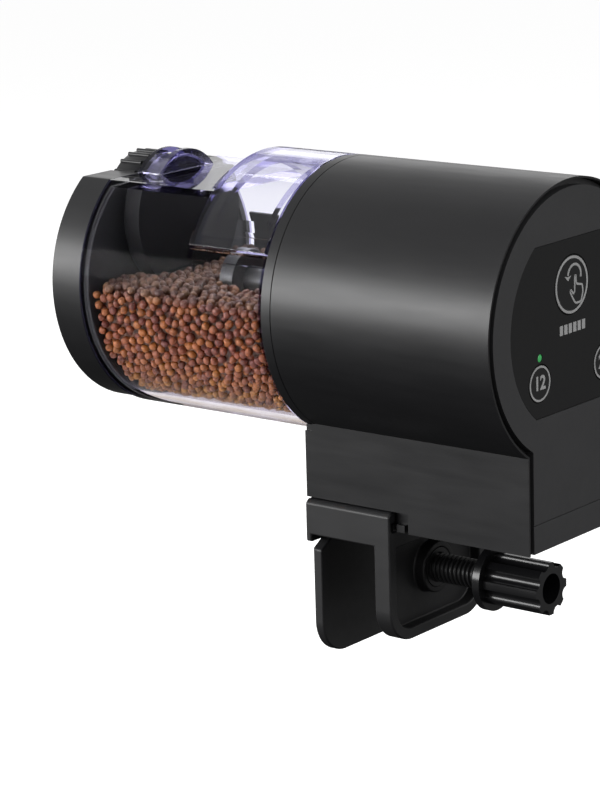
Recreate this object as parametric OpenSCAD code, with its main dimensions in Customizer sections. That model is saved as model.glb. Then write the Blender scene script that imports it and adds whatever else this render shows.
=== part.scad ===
// Automatic pet feeder with a turning feed barrel and a rim clamp.
// Modules are drawn about the barrel's axis: X runs from the barrel's cap to the
// control panel, whose face is X = 0, Y runs away from the front, Z runs up.
// at_jaw() then moves each one so that the origin lies on the clamp's fixed jaw.

/* [Housing] */
// Radius of the round housing
body_r = 34; // [33.5:0.1:34.5]
// Length of the housing along the barrel's axis
body_len = 65.3; // [65:0.1:70]
// Wall thickness of the housing
body_wall = 2; // [1.8:0.1:2.2]
// Width of the battery base under the housing
base_w = 36.9; // [36.5:0.1:37.5]
// Drop of the base's underside below the barrel's axis
base_drop = 52; // [51.8:0.1:52.5]

/* [Barrel] */
// Outer radius of the clear barrel
barrel_r = 33.8; // [33.5:0.1:33.9]
// Height of the barrel's flat top above its axis
flat_z = 26.4; // [26.2:0.1:26.6]
// Length of barrel and cap beyond the housing
barrel_reach = 67.7; // [67:0.1:70]
// Thickness of the barrel's clear wall
barrel_wall = 2; // [1.8:0.1:2.1]
// Depth of the black end cap
cap_len = 9.7; // [9.6:0.1:9.9]

/* [Dose control] */
// Radius of the dose dial over its ribs
dial_r = 12.2; // [11.8:0.1:12.3]
// Ribs round the dose dial
dial_ribs = 22; // [18:1:26]

/* [Clamp] */
// Width of the gap between the fixed jaw and the screw's leg
throat = 17; // [16:0.5:17]
// Width of the clamp bracket
bracket_w = 40; // [39.8:0.1:41]
// Length of the fixed jaw below the base
jaw_len = 35.5; // [32:0.5:40]
// Length of the screw's leg below the base
leg_len = 28.6; // [27:0.5:30]
// Outer radius of the clamp screw's thread
thread_r = 3.6; // [3.4:0.05:3.6]
// Pitch of the clamp screw's thread
thread_pitch = 1.25; // [1:0.25:1.5]

/* [Gears] */
// Module of the gear teeth
gear_module = 0.6; // [0.6:0.01:0.62]
// Teeth on the barrel's drive gear
drive_teeth = 40; // [40:1:41]
// Teeth on the idler gear
idler_teeth = 24; // [23:1:24]
// Teeth on the motor pinion
pinion_teeth = 12; // [12:1:13]

/* [Hidden] */
$fn = 96;
round_fn = 32;                        // facets of small curves in hulls
eps = 0.1;                            // overshoot of cutting solids
run_fit = 0.05;                       // radial clearance of a turning shaft
slide_fit = 0.3;                      // clearance of sliding and turning covers

// housing
lip_t = 0.5;                          // thin front edge of the housing's wall, around the panel
lip_gap = 0.1;                        // clearance of the panel inside that edge
groove_w = 1.5;                       // shadow groove between that edge and the panel's face
panel_rim = 2.4;                      // depth of the groove
panel_back = 3.2;                     // depth of the recess that takes the panel
cover_t = 3;                          // rear cover with its fine seam
seam = 0.2;
body_in = body_r - body_wall;
base_half = base_w / 2;
base_in = base_half - 3.15;           // inner half width of the base
floor_t = 1.6;
base_floor = floor_t - base_drop;     // height of the base floor's upper face
rear_x = -body_len;
boss_at = [22, 19.6];                // housing screw posts, plus and minus
boss_r = 3.2;
boss_len = 10;

// bracket rail grooves in the base's sides
rail_top = -47.1;
rail_bottom = -50.5;
rail_depth = 1.7;
rail_end = -34.8;

// control panel
membrane_r = 25;
membrane_half = 20;
membrane_t = 0.45;
print_t = 0.08;                       // how far films and buttons lie below the panel's face
manual_at = [0, 9];
manual_r = 7;
timer_at = [13.4, -11.8];             // the second timer button mirrors it in Y
timer_r = 4.4;
led_at = [13.2, -5.9];
led_r = 0.95;
light_pipe_r = 0.7;                   // the LED's light pipe behind the panel
press = 0.5;                          // travel of a button
board_x = -9.5;
board_t = 1.6;
board_r = 22.5;
post_at = [18, 8];

// gear train, behind the rear cover
gear_x = rear_x + 4.3;
gear_w = 4;
plate_x = gear_x + 6.4;
plate_t = 1.6;
tooth_play = 0.14;
drive_pitch_r = gear_module * drive_teeth / 2;
idler_pitch_r = gear_module * idler_teeth / 2;
pinion_pitch_r = gear_module * pinion_teeth / 2;
idler_dir = 60;
pinion_dir = 150;
idler_at = (drive_pitch_r + idler_pitch_r) * [cos(idler_dir), sin(idler_dir)];
pinion_at = idler_at + (idler_pitch_r + pinion_pitch_r) * [cos(pinion_dir), sin(pinion_dir)];
idler_phase = mesh_phase(idler_dir, idler_dir, drive_teeth, idler_teeth);
pinion_phase = mesh_phase(pinion_dir, idler_phase, idler_teeth, pinion_teeth);
shaft_r = 3;
pin_r = 1.5;
dog_w = 7;

// batteries: two AA cells side by side
cell_r = 7.25;
cell_len = 50.5;
cell_at = [7.4, -41.2];
cell_x = -58.2;
door_x = -33.8;
door_half = 15.8;
door_strip_top = -45.15;
strip_half = base_half - lip_t - groove_w;

// barrel
barrel_x0 = rear_x - barrel_reach;    // outer face of the cap
cap_x = barrel_x0 + cap_len;          // where cap and clear wall meet
barrel_x1 = rear_x - 0.7;             // inner end of the barrel
barrel_in = barrel_r - barrel_wall;
flat_in = flat_z - barrel_wall;
hood_x0 = -89.3;
hood_x1 = rear_x - 0.5;
hood_in = 32.3;
track_r = 31.9;                       // barrel wall under the sliding hood
track_in = 30.1;
hood_from = 25.6;                     // angles up from the front horizontal
hood_to = 120;
track_to = 206;
socket_r = 6.7;                       // driving socket in the barrel's end wall

// dose dial, gate and outlet
dial_z = 18.5;
gate_r = 11.2;
gate_wall = 1.4;
gate_x = cap_x + 0.8;
cover_in = 11.7;
cover_out = 13.2;
cover_x1 = -115.8;
chamber_r = 19.6;
chamber_z = 15.5;
chamber_x1 = -115.2;

// clamp
bracket_x0 = -64.7;
jaw_face_x = -61.1;
jaw_t = 2.6;
leg_x = jaw_face_x + throat;
leg_t = 4.7;
bracket_x1 = leg_x + leg_t;
bar_top = -base_drop - slide_fit;
bar_bottom = bar_top - 3.9;
bracket_half = bracket_w / 2;
screw_z = -65.5;
screw_x0 = -46.6;
collar_x = -24;
collar_r = 8;
collar_t = 2;
knob_x1 = -6.5;
knob_r = 6.5;
knob_lobes = 8;
jaw_z = -72;                          // height of the origin on the fixed jaw

// Tooth angle of gear b, meshing with gear a along the direction dir
function mesh_phase(dir, phase_a, teeth_a, teeth_b) =
    dir + 180 - (180 - (dir - phase_a) * teeth_a) / teeth_b;
function involute(angle) = tan(angle) * 180 / PI - angle;
// Point at radius r and angle a up from the front horizontal
function rim_point(r, a) = [-r * cos(a), r * sin(a)];

module at_jaw() { translate([-jaw_face_x, 0, -jaw_z]) children(); }

// A flat outline in Y and Z, drawn out from x0 to x1
module along_x(x0, x1) { translate([x0, 0, 0]) rotate([90, 0, 90]) linear_extrude(x1 - x0) children(); }

module rod(x0, x1, r, at = [0, 0]) { along_x(x0, x1) translate(at) circle(r); }

module block(x0, x1, y0, y1, z0, z1) { translate([x0, y0, z0]) cube([x1 - x0, y1 - y0, z1 - z0]); }

module both_sides() { children(); mirror([0, 1, 0]) children(); }

module corners(at) { for (sy = [-1, 1], sz = [-1, 1]) translate([0, sy * at[0], sz * at[1]]) children(); }

// Round outline with a level top
module d_outline(r, top) { intersection() { circle(r); translate([-r, -r]) square([2 * r, r + top]); } }

// Slice of a disc between two angles up from the front horizontal
module slice(r, a0, a1) {
    steps = 8;
    intersection() {
        circle(r);
        polygon(concat([[0, 0]], [for (i = [0:steps]) rim_point(2 * r, a0 + (a1 - a0) * i / steps)]));
    }
}

module ring_slice(r0, r1, a0, a1) { difference() { slice(r1, a0, a1); circle(r0); } }

// Plate outline hanging from z0 to z1 with its two lower corners rounded
module hanging_outline(half, z0, z1, r) {
    translate([-half, z1 + r]) square([2 * half, z0 - z1 - r]);
    translate([r - half, z1]) square([2 * (half - r), r]);
    for (side = [-1, 1]) translate([side * (half - r), z1 + r]) circle(r);
}

module gear_outline(teeth, phase) {
    pitch_r = gear_module * teeth / 2;
    base_r = pitch_r * cos(20);
    tip_r = pitch_r + 0.8 * gear_module;
    root_r = pitch_r - 1.1 * gear_module;
    start_r = max(base_r, root_r);
    steps = 3;
    half = 90 / teeth - tooth_play / pitch_r * 90 / PI;
    flank = [for (i = [0:steps]) let (r = start_r + (tip_r - start_r) * i / steps)
        [r, half + involute(20) - involute(acos(base_r / r))]];
    points = [for (t = [0:teeth - 1]) let (c = phase + 360 * t / teeth) each concat(
        [[root_r, c - flank[0][1]]],
        [for (i = [0:steps]) [flank[i][0], c - flank[i][1]]],
        [for (i = [steps:-1:0]) [flank[i][0], c + flank[i][1]]],
        [[root_r, c + flank[0][1]]])];
    polygon([for (p = points) p[0] * [cos(p[1]), sin(p[1])]]);
}

// ---------------------------------------------------------------- clamp

module bracket_profile() {
    lip_in = base_half - rail_depth + slide_fit;
    wall_in = base_half + slide_fit;
    half = [
        [bracket_half, bar_bottom], [bracket_half, rail_top - 1.2],
        [bracket_half - 1, rail_top - slide_fit], [lip_in, rail_top - slide_fit],
        [lip_in, rail_bottom + slide_fit], [wall_in, rail_bottom + slide_fit], [wall_in, bar_top]
    ];
    polygon(concat(half, [for (i = [len(half) - 1:-1:0]) [-half[i][0], half[i][1]]]));
}

module clamp_bracket() {
    rim = 2.8;
    recess = 3;
    jaw_half = 18.7;
    neck_half = 12;
    shoulder = 4;
    leg_bottom = bar_bottom + 4 - leg_len;
    jaw_bottom = bar_bottom + 4 - jaw_len;
    screw_boss_r = 6.4;
    color("#1d1e20") at_jaw() difference() {
        union() {
            along_x(bracket_x0, bracket_x1) bracket_profile();
            // stop lip under the bar's end
            block(bracket_x0, bracket_x0 + 1.5, -bracket_half, bracket_half,
                bar_bottom - 1.8, bar_bottom + 1);
            // screw's leg, hollowed on its outer face
            difference() {
                along_x(leg_x, bracket_x1) hanging_outline(bracket_half, bar_bottom + 1, leg_bottom, 8.8);
                along_x(bracket_x1 - recess, bracket_x1 + eps)
                    hanging_outline(bracket_half - rim, bar_bottom - 0.5, leg_bottom + rim, 6);
            }
            rod(leg_x, bracket_x1, screw_boss_r, [0, screw_z]);
            // fixed jaw with a narrow neck
            along_x(jaw_face_x - jaw_t, jaw_face_x) {
                hanging_outline(jaw_half, bar_bottom - shoulder, jaw_bottom, 9);
                polygon([[-neck_half, bar_bottom + 1], [-neck_half, bar_bottom],
                    [-jaw_half, bar_bottom - shoulder], [jaw_half, bar_bottom - shoulder],
                    [neck_half, bar_bottom], [neck_half, bar_bottom + 1]]);
            }
        }
        rod(leg_x - eps, bracket_x1 + eps, thread_r + 1.3, [0, screw_z]);
    }
}

// Moulded-in sleeve that the clamp screw turns in
module thread_insert() {
    color("#26272a") at_jaw() difference() {
        rod(leg_x, bracket_x1, thread_r + 1.3, [0, screw_z]);
        rod(leg_x - eps, bracket_x1 + eps, thread_r + 0.08, [0, screw_z]);
    }
}

module clamp_screw() {
    root_r = thread_r - 0.75;
    turns = floor((collar_x - screw_x0) / thread_pitch) - 1;
    color("#26272a") at_jaw() translate([0, 0, screw_z]) {
        rotate([90, 0, 90]) rotate_extrude() polygon(concat(
            [[0, screw_x0 - 1.4], [1.8, screw_x0 - 1.4], [1.8, screw_x0], [root_r, screw_x0]],
            [for (i = [0:turns - 1], p = [[root_r, 0.1], [thread_r, 0.5], [thread_r, 0.75], [root_r, 1.15]])
                [p[0], screw_x0 + (i + p[1]) * thread_pitch]],
            [[root_r, collar_x], [0, collar_x]]));
    }
}

module screw_knob() {
    flute_r = 1.7;
    color("#1d1e20") at_jaw() {
        rod(collar_x, collar_x + collar_t, collar_r, [0, screw_z]);
        difference() {
            rod(collar_x + collar_t, knob_x1, knob_r, [0, screw_z]);
            for (i = [0:knob_lobes - 1]) let (a = 360 * (i + 0.5) / knob_lobes)
                rod(collar_x + collar_t, knob_x1 + eps, flute_r,
                    [(knob_r + 0.5) * cos(a), screw_z + (knob_r + 0.5) * sin(a)]);
            rod(knob_x1 - 9, knob_x1 + eps, 3.7, [0, screw_z]);
        }
    }
}

// Swivel foot on the screw's tip
module screw_pad() {
    color("#303236") at_jaw() difference() {
        union() {
            rod(screw_x0 - 2.6, screw_x0 - 0.9, 6.6, [0, screw_z]);
            rod(screw_x0 - 1, screw_x0 - 0.15, 3.6, [0, screw_z]);
        }
        rod(screw_x0 - 1.6, screw_x0, 1.8 + run_fit, [0, screw_z]);
    }
}

// ---------------------------------------------------------------- housing

module main_shell() {
    notch = 2.2;
    color("#17181a") at_jaw() {
        difference() {
            union() {
                rod(rear_x + cover_t, 0, body_r);
                block(rear_x, 0, -base_half, base_half, -base_drop, -12);
            }
            rod(rear_x - eps, rear_x + cover_t, body_r + 0.1);
            along_x(-panel_back, eps) panel_outline(lip_t);
            rod(rear_x + cover_t - eps, eps - panel_back, body_in);
            block(rear_x + body_wall, eps - panel_back, -base_in, base_in, base_floor, -10);
            // bottom opening and rebate for the battery door
            block(door_x - slide_fit, eps - panel_back, -base_in, base_in,
                -base_drop - eps, base_floor + eps);
            block(door_x - 0.2, eps - panel_back, -door_half - 0.2, door_half + 0.2,
                -base_drop - eps, base_floor);
            both_sides() {
                // bracket rail, and its release notch through the lower edge
                block(rear_x - eps, rail_end, base_half - rail_depth, base_half + eps, rail_bottom, rail_top);
                block(bracket_x1 + 0.2, rail_end, base_half - rail_depth, base_half + eps,
                    -base_drop - eps, rail_top);
                // latch recess at the base's upper corner
                block(rear_x - eps, rear_x + notch, base_half - 0.6, base_half + eps, -30.6, -20);
            }
        }
        // end stop of the rail
        both_sides() block(rail_end - 3.6, rail_end - 1.3, base_half - rail_depth, base_half - 0.3,
            -base_drop, rail_bottom + slide_fit);
        // screw posts
        corners(boss_at) difference() {
            rod(rear_x + cover_t, rear_x + cover_t + boss_len, boss_r);
            rod(rear_x + cover_t - eps, rear_x + cover_t + boss_len - 1, 0.95);
        }
    }
}

module rear_cover() {
    color("#1b1c1e") at_jaw() difference() {
        union() {
            rod(rear_x, rear_x + cover_t - seam, body_r);
            rod(rear_x + cover_t - seam, rear_x + cover_t, body_r - 0.8);
        }
        rod(rear_x - eps, rear_x + cover_t + eps, 5);
        rod(rear_x + 1, rear_x + cover_t + eps, pin_r, idler_at);
        corners(boss_at) {
            rod(rear_x - eps, rear_x + cover_t + eps, 1.3);
            rod(rear_x - eps, rear_x + 1.4, 2.5);
        }
    }
}

// Outline of the housing's front, smaller by inset and open at the bottom
module panel_outline(inset) {
    circle(body_r - inset);
    translate([inset - base_half, -base_drop - eps]) square([base_w - 2 * inset, base_drop]);
}

module membrane_outline(grow) {
    intersection() {
        circle(membrane_r + grow);
        square([4 * membrane_r, 2 * (membrane_half + grow)], center = true);
    }
}

module front_panel() {
    spigot = 3.3;
    color("#2b2c2e") at_jaw() {
        difference() {
            union() {
                along_x(-panel_rim, 0) panel_outline(lip_t + groove_w);
                along_x(-panel_back, -panel_rim) panel_outline(lip_t + lip_gap);
            }
            along_x(-membrane_t - 0.05, eps) membrane_outline(0.1);
            // the battery door's front strip closes the bottom
            block(-panel_back - eps, eps, -base_half, base_half, -base_drop - 2 * eps, door_strip_top + 0.15);
            rod(-panel_back - eps, eps, manual_r + 0.2, manual_at);
            both_sides() {
                rod(-panel_back - eps, eps, timer_r + 0.2, timer_at);
                rod(-panel_back - eps, eps, led_r, led_at);
            }
        }
        // locating ring inside the housing, and posts for the circuit board
        difference() {
            rod(-panel_back - spigot, -panel_back, body_in - 0.1);
            rod(-panel_back - spigot - eps, -panel_back + eps, body_in - 1.6);
            block(-panel_back - spigot - eps, eps, -body_r, body_r, -body_r, -24);
        }
        both_sides() difference() {
            rod(board_x + board_t, -panel_back, 2, post_at);
            rod(board_x + board_t - eps, -panel_back, 0.8, post_at);
        }
    }
}

module control_membrane() {
    color("#0c0d0f") at_jaw() difference() {
        along_x(-membrane_t, -print_t) membrane_outline(0);
        rod(-1, eps, manual_r + 0.15, manual_at);
        both_sides() {
            rod(-1, eps, timer_r + 0.15, timer_at);
            rod(-1, eps, led_r, led_at);
        }
    }
}

// Button cap that slides in the panel, with a flange behind it and a plunger
module button(r, at, flange) {
    rod(-2.9, -print_t, r, at);
    rod(-panel_back - 1.1, -panel_back - 0.15, r + flange, at);
    rod(-panel_back - 0.2, -2.8, r, at);
    rod(-panel_back - 1.5, -panel_back - 1, 1.8, at);
}

module manual_button() { color("#101114") at_jaw() button(manual_r, manual_at, 0.9); }
module timer_12_button() { color("#101114") at_jaw() mirror([0, 1, 0]) button(timer_r, timer_at, 0.4); }
module timer_24_button() { color("#101114") at_jaw() button(timer_r, timer_at, 0.4); }

module led() {
    rod(-panel_back, -print_t, led_r, led_at);
    rod(board_x + board_t, -panel_back + eps, light_pipe_r, led_at);
}
module led_12() { color("#35d04a") at_jaw() mirror([0, 1, 0]) led(); }
module led_24() { color("#2a3a2e") at_jaw() led(); }

module circuit_board() {
    color("#1f6b3a") at_jaw() difference() {
        along_x(board_x, board_x + board_t) d_outline(board_r, 18);
        both_sides() rod(board_x - eps, board_x + board_t + eps, 0.9, post_at);
    }
}

module tact_switch(at) {
    translate([board_x + board_t, at[0] - 3, at[1] - 3]) cube([2.4, 6, 6]);
    rod(board_x + board_t + 2.3, -panel_back - 1.5 - press - 0.05, 1.6, at);
}
module tact_switches() {
    color("#3a3b3d") at_jaw() {
        tact_switch(manual_at);
        both_sides() tact_switch(timer_at);
    }
}

module board_screws() {
    color("#b9bbbd") at_jaw() both_sides() {
        rod(board_x - 1.2, board_x, 1.7, post_at);
        rod(board_x, -panel_back - 0.6, 0.8, post_at);
    }
}

module case_screws() {
    color("#9a9c9f") at_jaw() corners(boss_at) {
        difference() {
            rod(rear_x + 0.1, rear_x + 1.4, 2.3);
            block(rear_x, rear_x + 0.8, -1.5, 1.5, -0.3, 0.3);
            block(rear_x, rear_x + 0.8, -0.3, 0.3, -1.5, 1.5);
        }
        rod(rear_x + 1.4, rear_x + cover_t + 7, 0.95);
    }
}

// ---------------------------------------------------------------- battery base

module battery_tray() {
    half = base_in - 0.1;
    top = -32.2;
    x0 = rear_x + body_wall + 0.4;
    x1 = -5.2;
    color("#24262a") at_jaw() difference() {
        union() {
            block(x0, x1, -half, half, top - 1.2, top);
            block(x0, x0 + 1.2, -half, half, base_floor + 0.2, top - 1.1);
            block(x1 - 1.2, x1, -half, half, door_strip_top + 0.6, top - 1.1);
        }
        // room for the rear cover's edge
        rod(rear_x, rear_x + cover_t + 0.2, body_r + slide_fit);
    }
}

module battery_cells() {
    color("#4a4d52") at_jaw() both_sides() {
        rod(cell_x, cell_x + cell_len - 1.2, cell_r, cell_at);
        rod(cell_x + cell_len - 1.3, cell_x + cell_len, 2.7, cell_at);
    }
}

module contact_plates() {
    color("#c9cbcc") at_jaw() both_sides() {
        block(-61.7, -61.3, cell_at[0] - 5, cell_at[0] + 5, cell_at[1] - 5, cell_at[1] + 5);
        block(-6.8, -6.45, cell_at[0] - 5, cell_at[0] + 5, cell_at[1] - 3, cell_at[1] + 5);
    }
}

module contact_springs() {
    wire = 0.45;
    color("#c9cbcc") at_jaw() both_sides() for (i = [0:2])
        translate([-61.3 + wire + i * 2 * wire, cell_at[0], cell_at[1]])
            rotate([0, 90, 0]) rotate_extrude() translate([4.2 - 0.7 * i, 0]) circle(wire);
}

module battery_door() {
    color("#2b2c2e") at_jaw() difference() {
        union() {
            block(door_x, -1, -door_half, door_half, -base_drop, base_floor - 0.2);
            block(-panel_rim, 0, -strip_half, strip_half, -base_drop, door_strip_top);
        }
        for (i = [0:4]) block(-16 + i * 2, -15.1 + i * 2, -9, 9, -base_drop - eps, -base_drop + 0.4);
    }
}

// ---------------------------------------------------------------- gear train

module gear_motor() {
    box_x = plate_x + plate_t;
    color("#a9abae") at_jaw() difference() {
        union() {
            translate([0, pinion_at[0], pinion_at[1]]) {
                block(box_x, box_x + 9, -6, 6, -5, 5);
                intersection() {
                    rod(box_x + 8.9, box_x + 24, 6);
                    block(box_x, box_x + 30, -6, 6, -5, 5);
                }
            }
            rod(box_x + 23.9, box_x + 25.4, 2, pinion_at);
        }
        rod(box_x - eps, box_x + 6, pin_r + run_fit, pinion_at);
    }
}

module gear_plate() {
    color("#8f9296") at_jaw() difference() {
        union() {
            along_x(plate_x, plate_x + plate_t) {
                d_outline(17, 12);
                intersection() { translate([-13, 8]) square([32, 20]); circle(body_in - 0.6); }
            }
            // legs that stand on the rear cover
            for (at = [[-11, 25], [16.5, 24], [-12, -12], [12, -12]])
                rod(rear_x + cover_t, plate_x + 0.1, 1.9, at);
        }
        corners(boss_at) rod(plate_x - eps, plate_x + plate_t + eps, boss_r + slide_fit);
        rod(plate_x - eps, plate_x + plate_t + eps, shaft_r + run_fit);
        rod(plate_x - eps, plate_x + plate_t + eps, pin_r, idler_at);
        rod(plate_x - eps, plate_x + plate_t + eps, pin_r + 0.6, pinion_at);
        for (side = [-1, 1]) rod(plate_x - eps, plate_x + plate_t + eps, 0.8, pinion_at + [4.2 * side, 0]);
    }
}

module plate_screws() {
    color("#b9bbbd") at_jaw() for (side = [-1, 1]) {
        rod(plate_x - 1, plate_x, 1.5, pinion_at + [4.2 * side, 0]);
        rod(plate_x - 0.1, plate_x + plate_t, 0.8, pinion_at + [4.2 * side, 0]);
    }
}

module idler_pin() { color("#c4c6c8") at_jaw() rod(rear_x + 1, plate_x + plate_t, pin_r, idler_at); }

module idler_gear() {
    color("#e6e2d6") at_jaw() difference() {
        union() {
            along_x(gear_x, gear_x + gear_w) translate(idler_at) gear_outline(idler_teeth, idler_phase);
            rod(gear_x + gear_w - eps, gear_x + gear_w + 1.4, 3, idler_at);
        }
        rod(gear_x - eps, plate_x, pin_r + run_fit, idler_at);
    }
}

module motor_pinion() {
    color("#d8b25a") at_jaw() difference() {
        along_x(gear_x, gear_x + gear_w) translate(pinion_at) gear_outline(pinion_teeth, pinion_phase);
        rod(gear_x - eps, gear_x + gear_w + eps, pin_r, pinion_at);
    }
}

module motor_shaft() { color("#c4c6c8") at_jaw() rod(gear_x, plate_x + plate_t + 5, pin_r, pinion_at); }

module shaft_bush() {
    color("#d9c9a0") at_jaw() difference() {
        union() {
            rod(rear_x, rear_x + 3.9, 5);
            rod(rear_x + cover_t, rear_x + 3.9, 6.5);
        }
        rod(rear_x - eps, rear_x + 4.5, shaft_r + run_fit);
    }
}

module barrel_seal() {
    color("#55524c") at_jaw() difference() {
        rod(rear_x - 0.5, rear_x, 12.5);
        rod(rear_x - 1, rear_x + eps, 9);
    }
}

module drive_shaft() { color("#c4c6c8") at_jaw() rod(rear_x - 12, plate_x + plate_t + 2, shaft_r); }

module drive_gear() {
    color("#e6e2d6") at_jaw() difference() {
        union() {
            along_x(gear_x, gear_x + gear_w) gear_outline(drive_teeth, idler_dir);
            rod(gear_x + gear_w - eps, plate_x - 0.3, 5.5);
        }
        rod(gear_x - eps, plate_x, shaft_r);
    }
}

// Square driving end that the barrel's socket slips over
module drive_dog() {
    color("#d5d2c6") at_jaw() difference() {
        block(rear_x - 13.5, rear_x - 0.9, -dog_w / 2, dog_w / 2, -dog_w / 2, dog_w / 2);
        rod(rear_x - 12, rear_x, shaft_r);
    }
}

// ---------------------------------------------------------------- barrel

module barrel_shell() {
    end_t = 1.8;
    step_x = hood_x0 - slide_fit;
    color([0.82, 0.84, 0.93, 0.4]) at_jaw() difference() {
        union() {
            along_x(cap_x, step_x) d_outline(barrel_r, flat_z);
            // cross wall that carries the hood's track, standing above the flat
            rod(step_x - 2.9, step_x, track_r);
            rod(step_x, barrel_x1, barrel_r);
        }
        // track for the sliding hood
        along_x(step_x, barrel_x1 + eps) ring_slice(track_r, body_r + 2, hood_from - 1, track_to);
        // hollow for the feed
        along_x(cap_x - eps, step_x - 1.5) d_outline(barrel_in, flat_in);
        rod(step_x - 2.9 - eps, barrel_x1 - end_t, track_in);
        along_x(step_x - 1.6, barrel_x1 - end_t)
            ring_slice(track_in - 1, barrel_in, track_to + 4, 360 + hood_from - 5);
        rod(barrel_x1 - end_t - eps, barrel_x1 + eps, socket_r + run_fit);
        // fill opening under the hood
        block(-86, -70, -24.2, 4.4, 17, 40);
        // outlet slot in the flat
        block(gate_x - slide_fit, cover_x1 - 1.2, -10.3, 10.3, flat_in - 2, flat_z + 1);
    }
}

module barrel_cap() {
    inner_x = cap_x - 1.3;
    spigot = 1.2;
    color("#1b1c1e") at_jaw() difference() {
        union() {
            along_x(barrel_x0, cap_x) d_outline(body_r - 0.7, flat_z);
            along_x(cap_x, cap_x + spigot) d_outline(barrel_in - 0.1, flat_in - 0.1);
        }
        along_x(barrel_x0 + 1.8, inner_x) d_outline(31.3, flat_in);
        along_x(cap_x + 0.5, cap_x + spigot + eps) d_outline(barrel_in - 1.5, flat_in - 1.5);
        rod(barrel_x0 - eps, inner_x, dial_r + 0.5, [0, dial_z]);
        rod(inner_x - eps, cap_x + 1, shaft_r + 0.08, [0, dial_z]);
        // room for the gate at the spigot's top
        rod(cap_x + 0.5, cap_x + spigot + eps, gate_r + 0.6, [0, dial_z]);
    }
}

// Dark liner on the far side of the barrel
module rear_liner() {
    color("#232527") at_jaw() {
        along_x(cap_x + 3.2, -92.4) ring_slice(barrel_in - 0.9, barrel_in - 0.1, 160, 222);
        along_x(-91.2, barrel_x1 - 2) ring_slice(track_in - 0.9, track_in - 0.1, 165, 204);
    }
}

module drive_socket() {
    deep = 14.2;
    color("#3a3c40") at_jaw() difference() {
        union() {
            rod(barrel_x1 - deep - 1.2, barrel_x1 - 0.1, socket_r);
            rod(barrel_x1 - 3, barrel_x1 - 1.8, 9);
            rod(-96, barrel_x1 - deep - 1.1, 3.6);
            rod(-99.8, -95.6, 8);
        }
        along_x(barrel_x1 - deep, barrel_x1 + eps) square(dog_w + 0.3, center = true);
        rod(-99.8 - eps, -97, 6.6);
    }
}

// Cup at the cap's end that meters one portion of feed
module dose_chamber() {
    wall = 1.2;
    x0 = cap_x + 3.2;
    color("#2a2c2f") at_jaw() intersection() {
        difference() {
            rod(x0, chamber_x1, chamber_r, [0, chamber_z]);
            rod(x0 - eps, chamber_x1 - wall, chamber_r - wall, [0, chamber_z]);
            block(x0 - eps, chamber_x1 - wall, -8, 8, -8, 0);
        }
        block(x0 - eps, chamber_x1 + eps, -30, 30, -30, flat_in - 0.15);
    }
}

// Clear arch over the outlet slot, with the outlet window in its crest
module outlet_cover() {
    color([0.84, 0.86, 0.95, 0.4]) at_jaw() difference() {
        intersection() {
            rod(cap_x + 0.1, cover_x1, cover_out, [0, dial_z]);
            block(cap_x, cover_x1, -20, 20, flat_z, 40);
        }
        rod(cap_x, cover_x1 - 1.1, cover_in, [0, dial_z]);
        block(cap_x + 1.3, cover_x1 - 1.9, -4.5, 4.5, flat_z + 2, 40);
    }
}

module dose_dial() {
    x1 = cap_x - 1.6;
    x0 = barrel_x0 + 0.4;
    rib = 0.6;
    color("#1b1c1e") at_jaw() {
        rod(x0, x1, dial_r - rib, [0, dial_z]);
        translate([0, 0, dial_z]) for (i = [0:dial_ribs - 1]) rotate([360 * i / dial_ribs, 0, 0])
            block(x0 + 0.4, x1 - 0.4, dial_r - rib - 0.5, dial_r, -0.5, 0.5);
        rod(x1, cap_x + 3.6, shaft_r, [0, dial_z]);
    }
}

// Arched shutter that the dial turns under the outlet window
module dose_gate() {
    color("#2b2c33") at_jaw() difference() {
        union() {
            rod(gate_x, gate_x + 1.2, gate_r, [0, dial_z]);
            along_x(gate_x + 1.1, cover_x1 - 1.5) translate([0, dial_z])
                ring_slice(gate_r - gate_wall, gate_r, 25, 155);
        }
        rod(gate_x - eps, gate_x + 2, shaft_r, [0, dial_z]);
    }
}

module fill_hood() {
    edge = 6;
    color([0.84, 0.86, 0.95, 0.4]) at_jaw() {
        along_x(hood_x0, hood_x1) ring_slice(hood_in, body_r, hood_from, hood_to);
        // thicker grip along the front edge
        along_x(hood_x0, hood_x1) ring_slice(body_r - eps, body_r + 0.6, hood_from, hood_from + edge);
    }
}

clamp_bracket();
thread_insert();
clamp_screw();
screw_knob();
screw_pad();
main_shell();
rear_cover();
front_panel();
control_membrane();
manual_button();
timer_12_button();
timer_24_button();
led_12();
led_24();
circuit_board();
tact_switches();
board_screws();
case_screws();
battery_tray();
battery_cells();
contact_plates();
contact_springs();
battery_door();
gear_motor();
gear_plate();
plate_screws();
idler_pin();
idler_gear();
motor_pinion();
motor_shaft();
shaft_bush();
barrel_seal();
drive_shaft();
drive_gear();
drive_dog();
barrel_shell();
barrel_cap();
rear_liner();
drive_socket();
dose_chamber();
outlet_cover();
dose_dial();
dose_gate();
fill_hood();
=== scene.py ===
# Automatic fish feeder: a black battery housing, a clear barrel of dry food that it
# turns, and a screw clamp for a tank's rim. Metres, +X towards the control panel.
import math

import bmesh
import bpy
import numpy as np
from mathutils import Matrix, Vector


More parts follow.
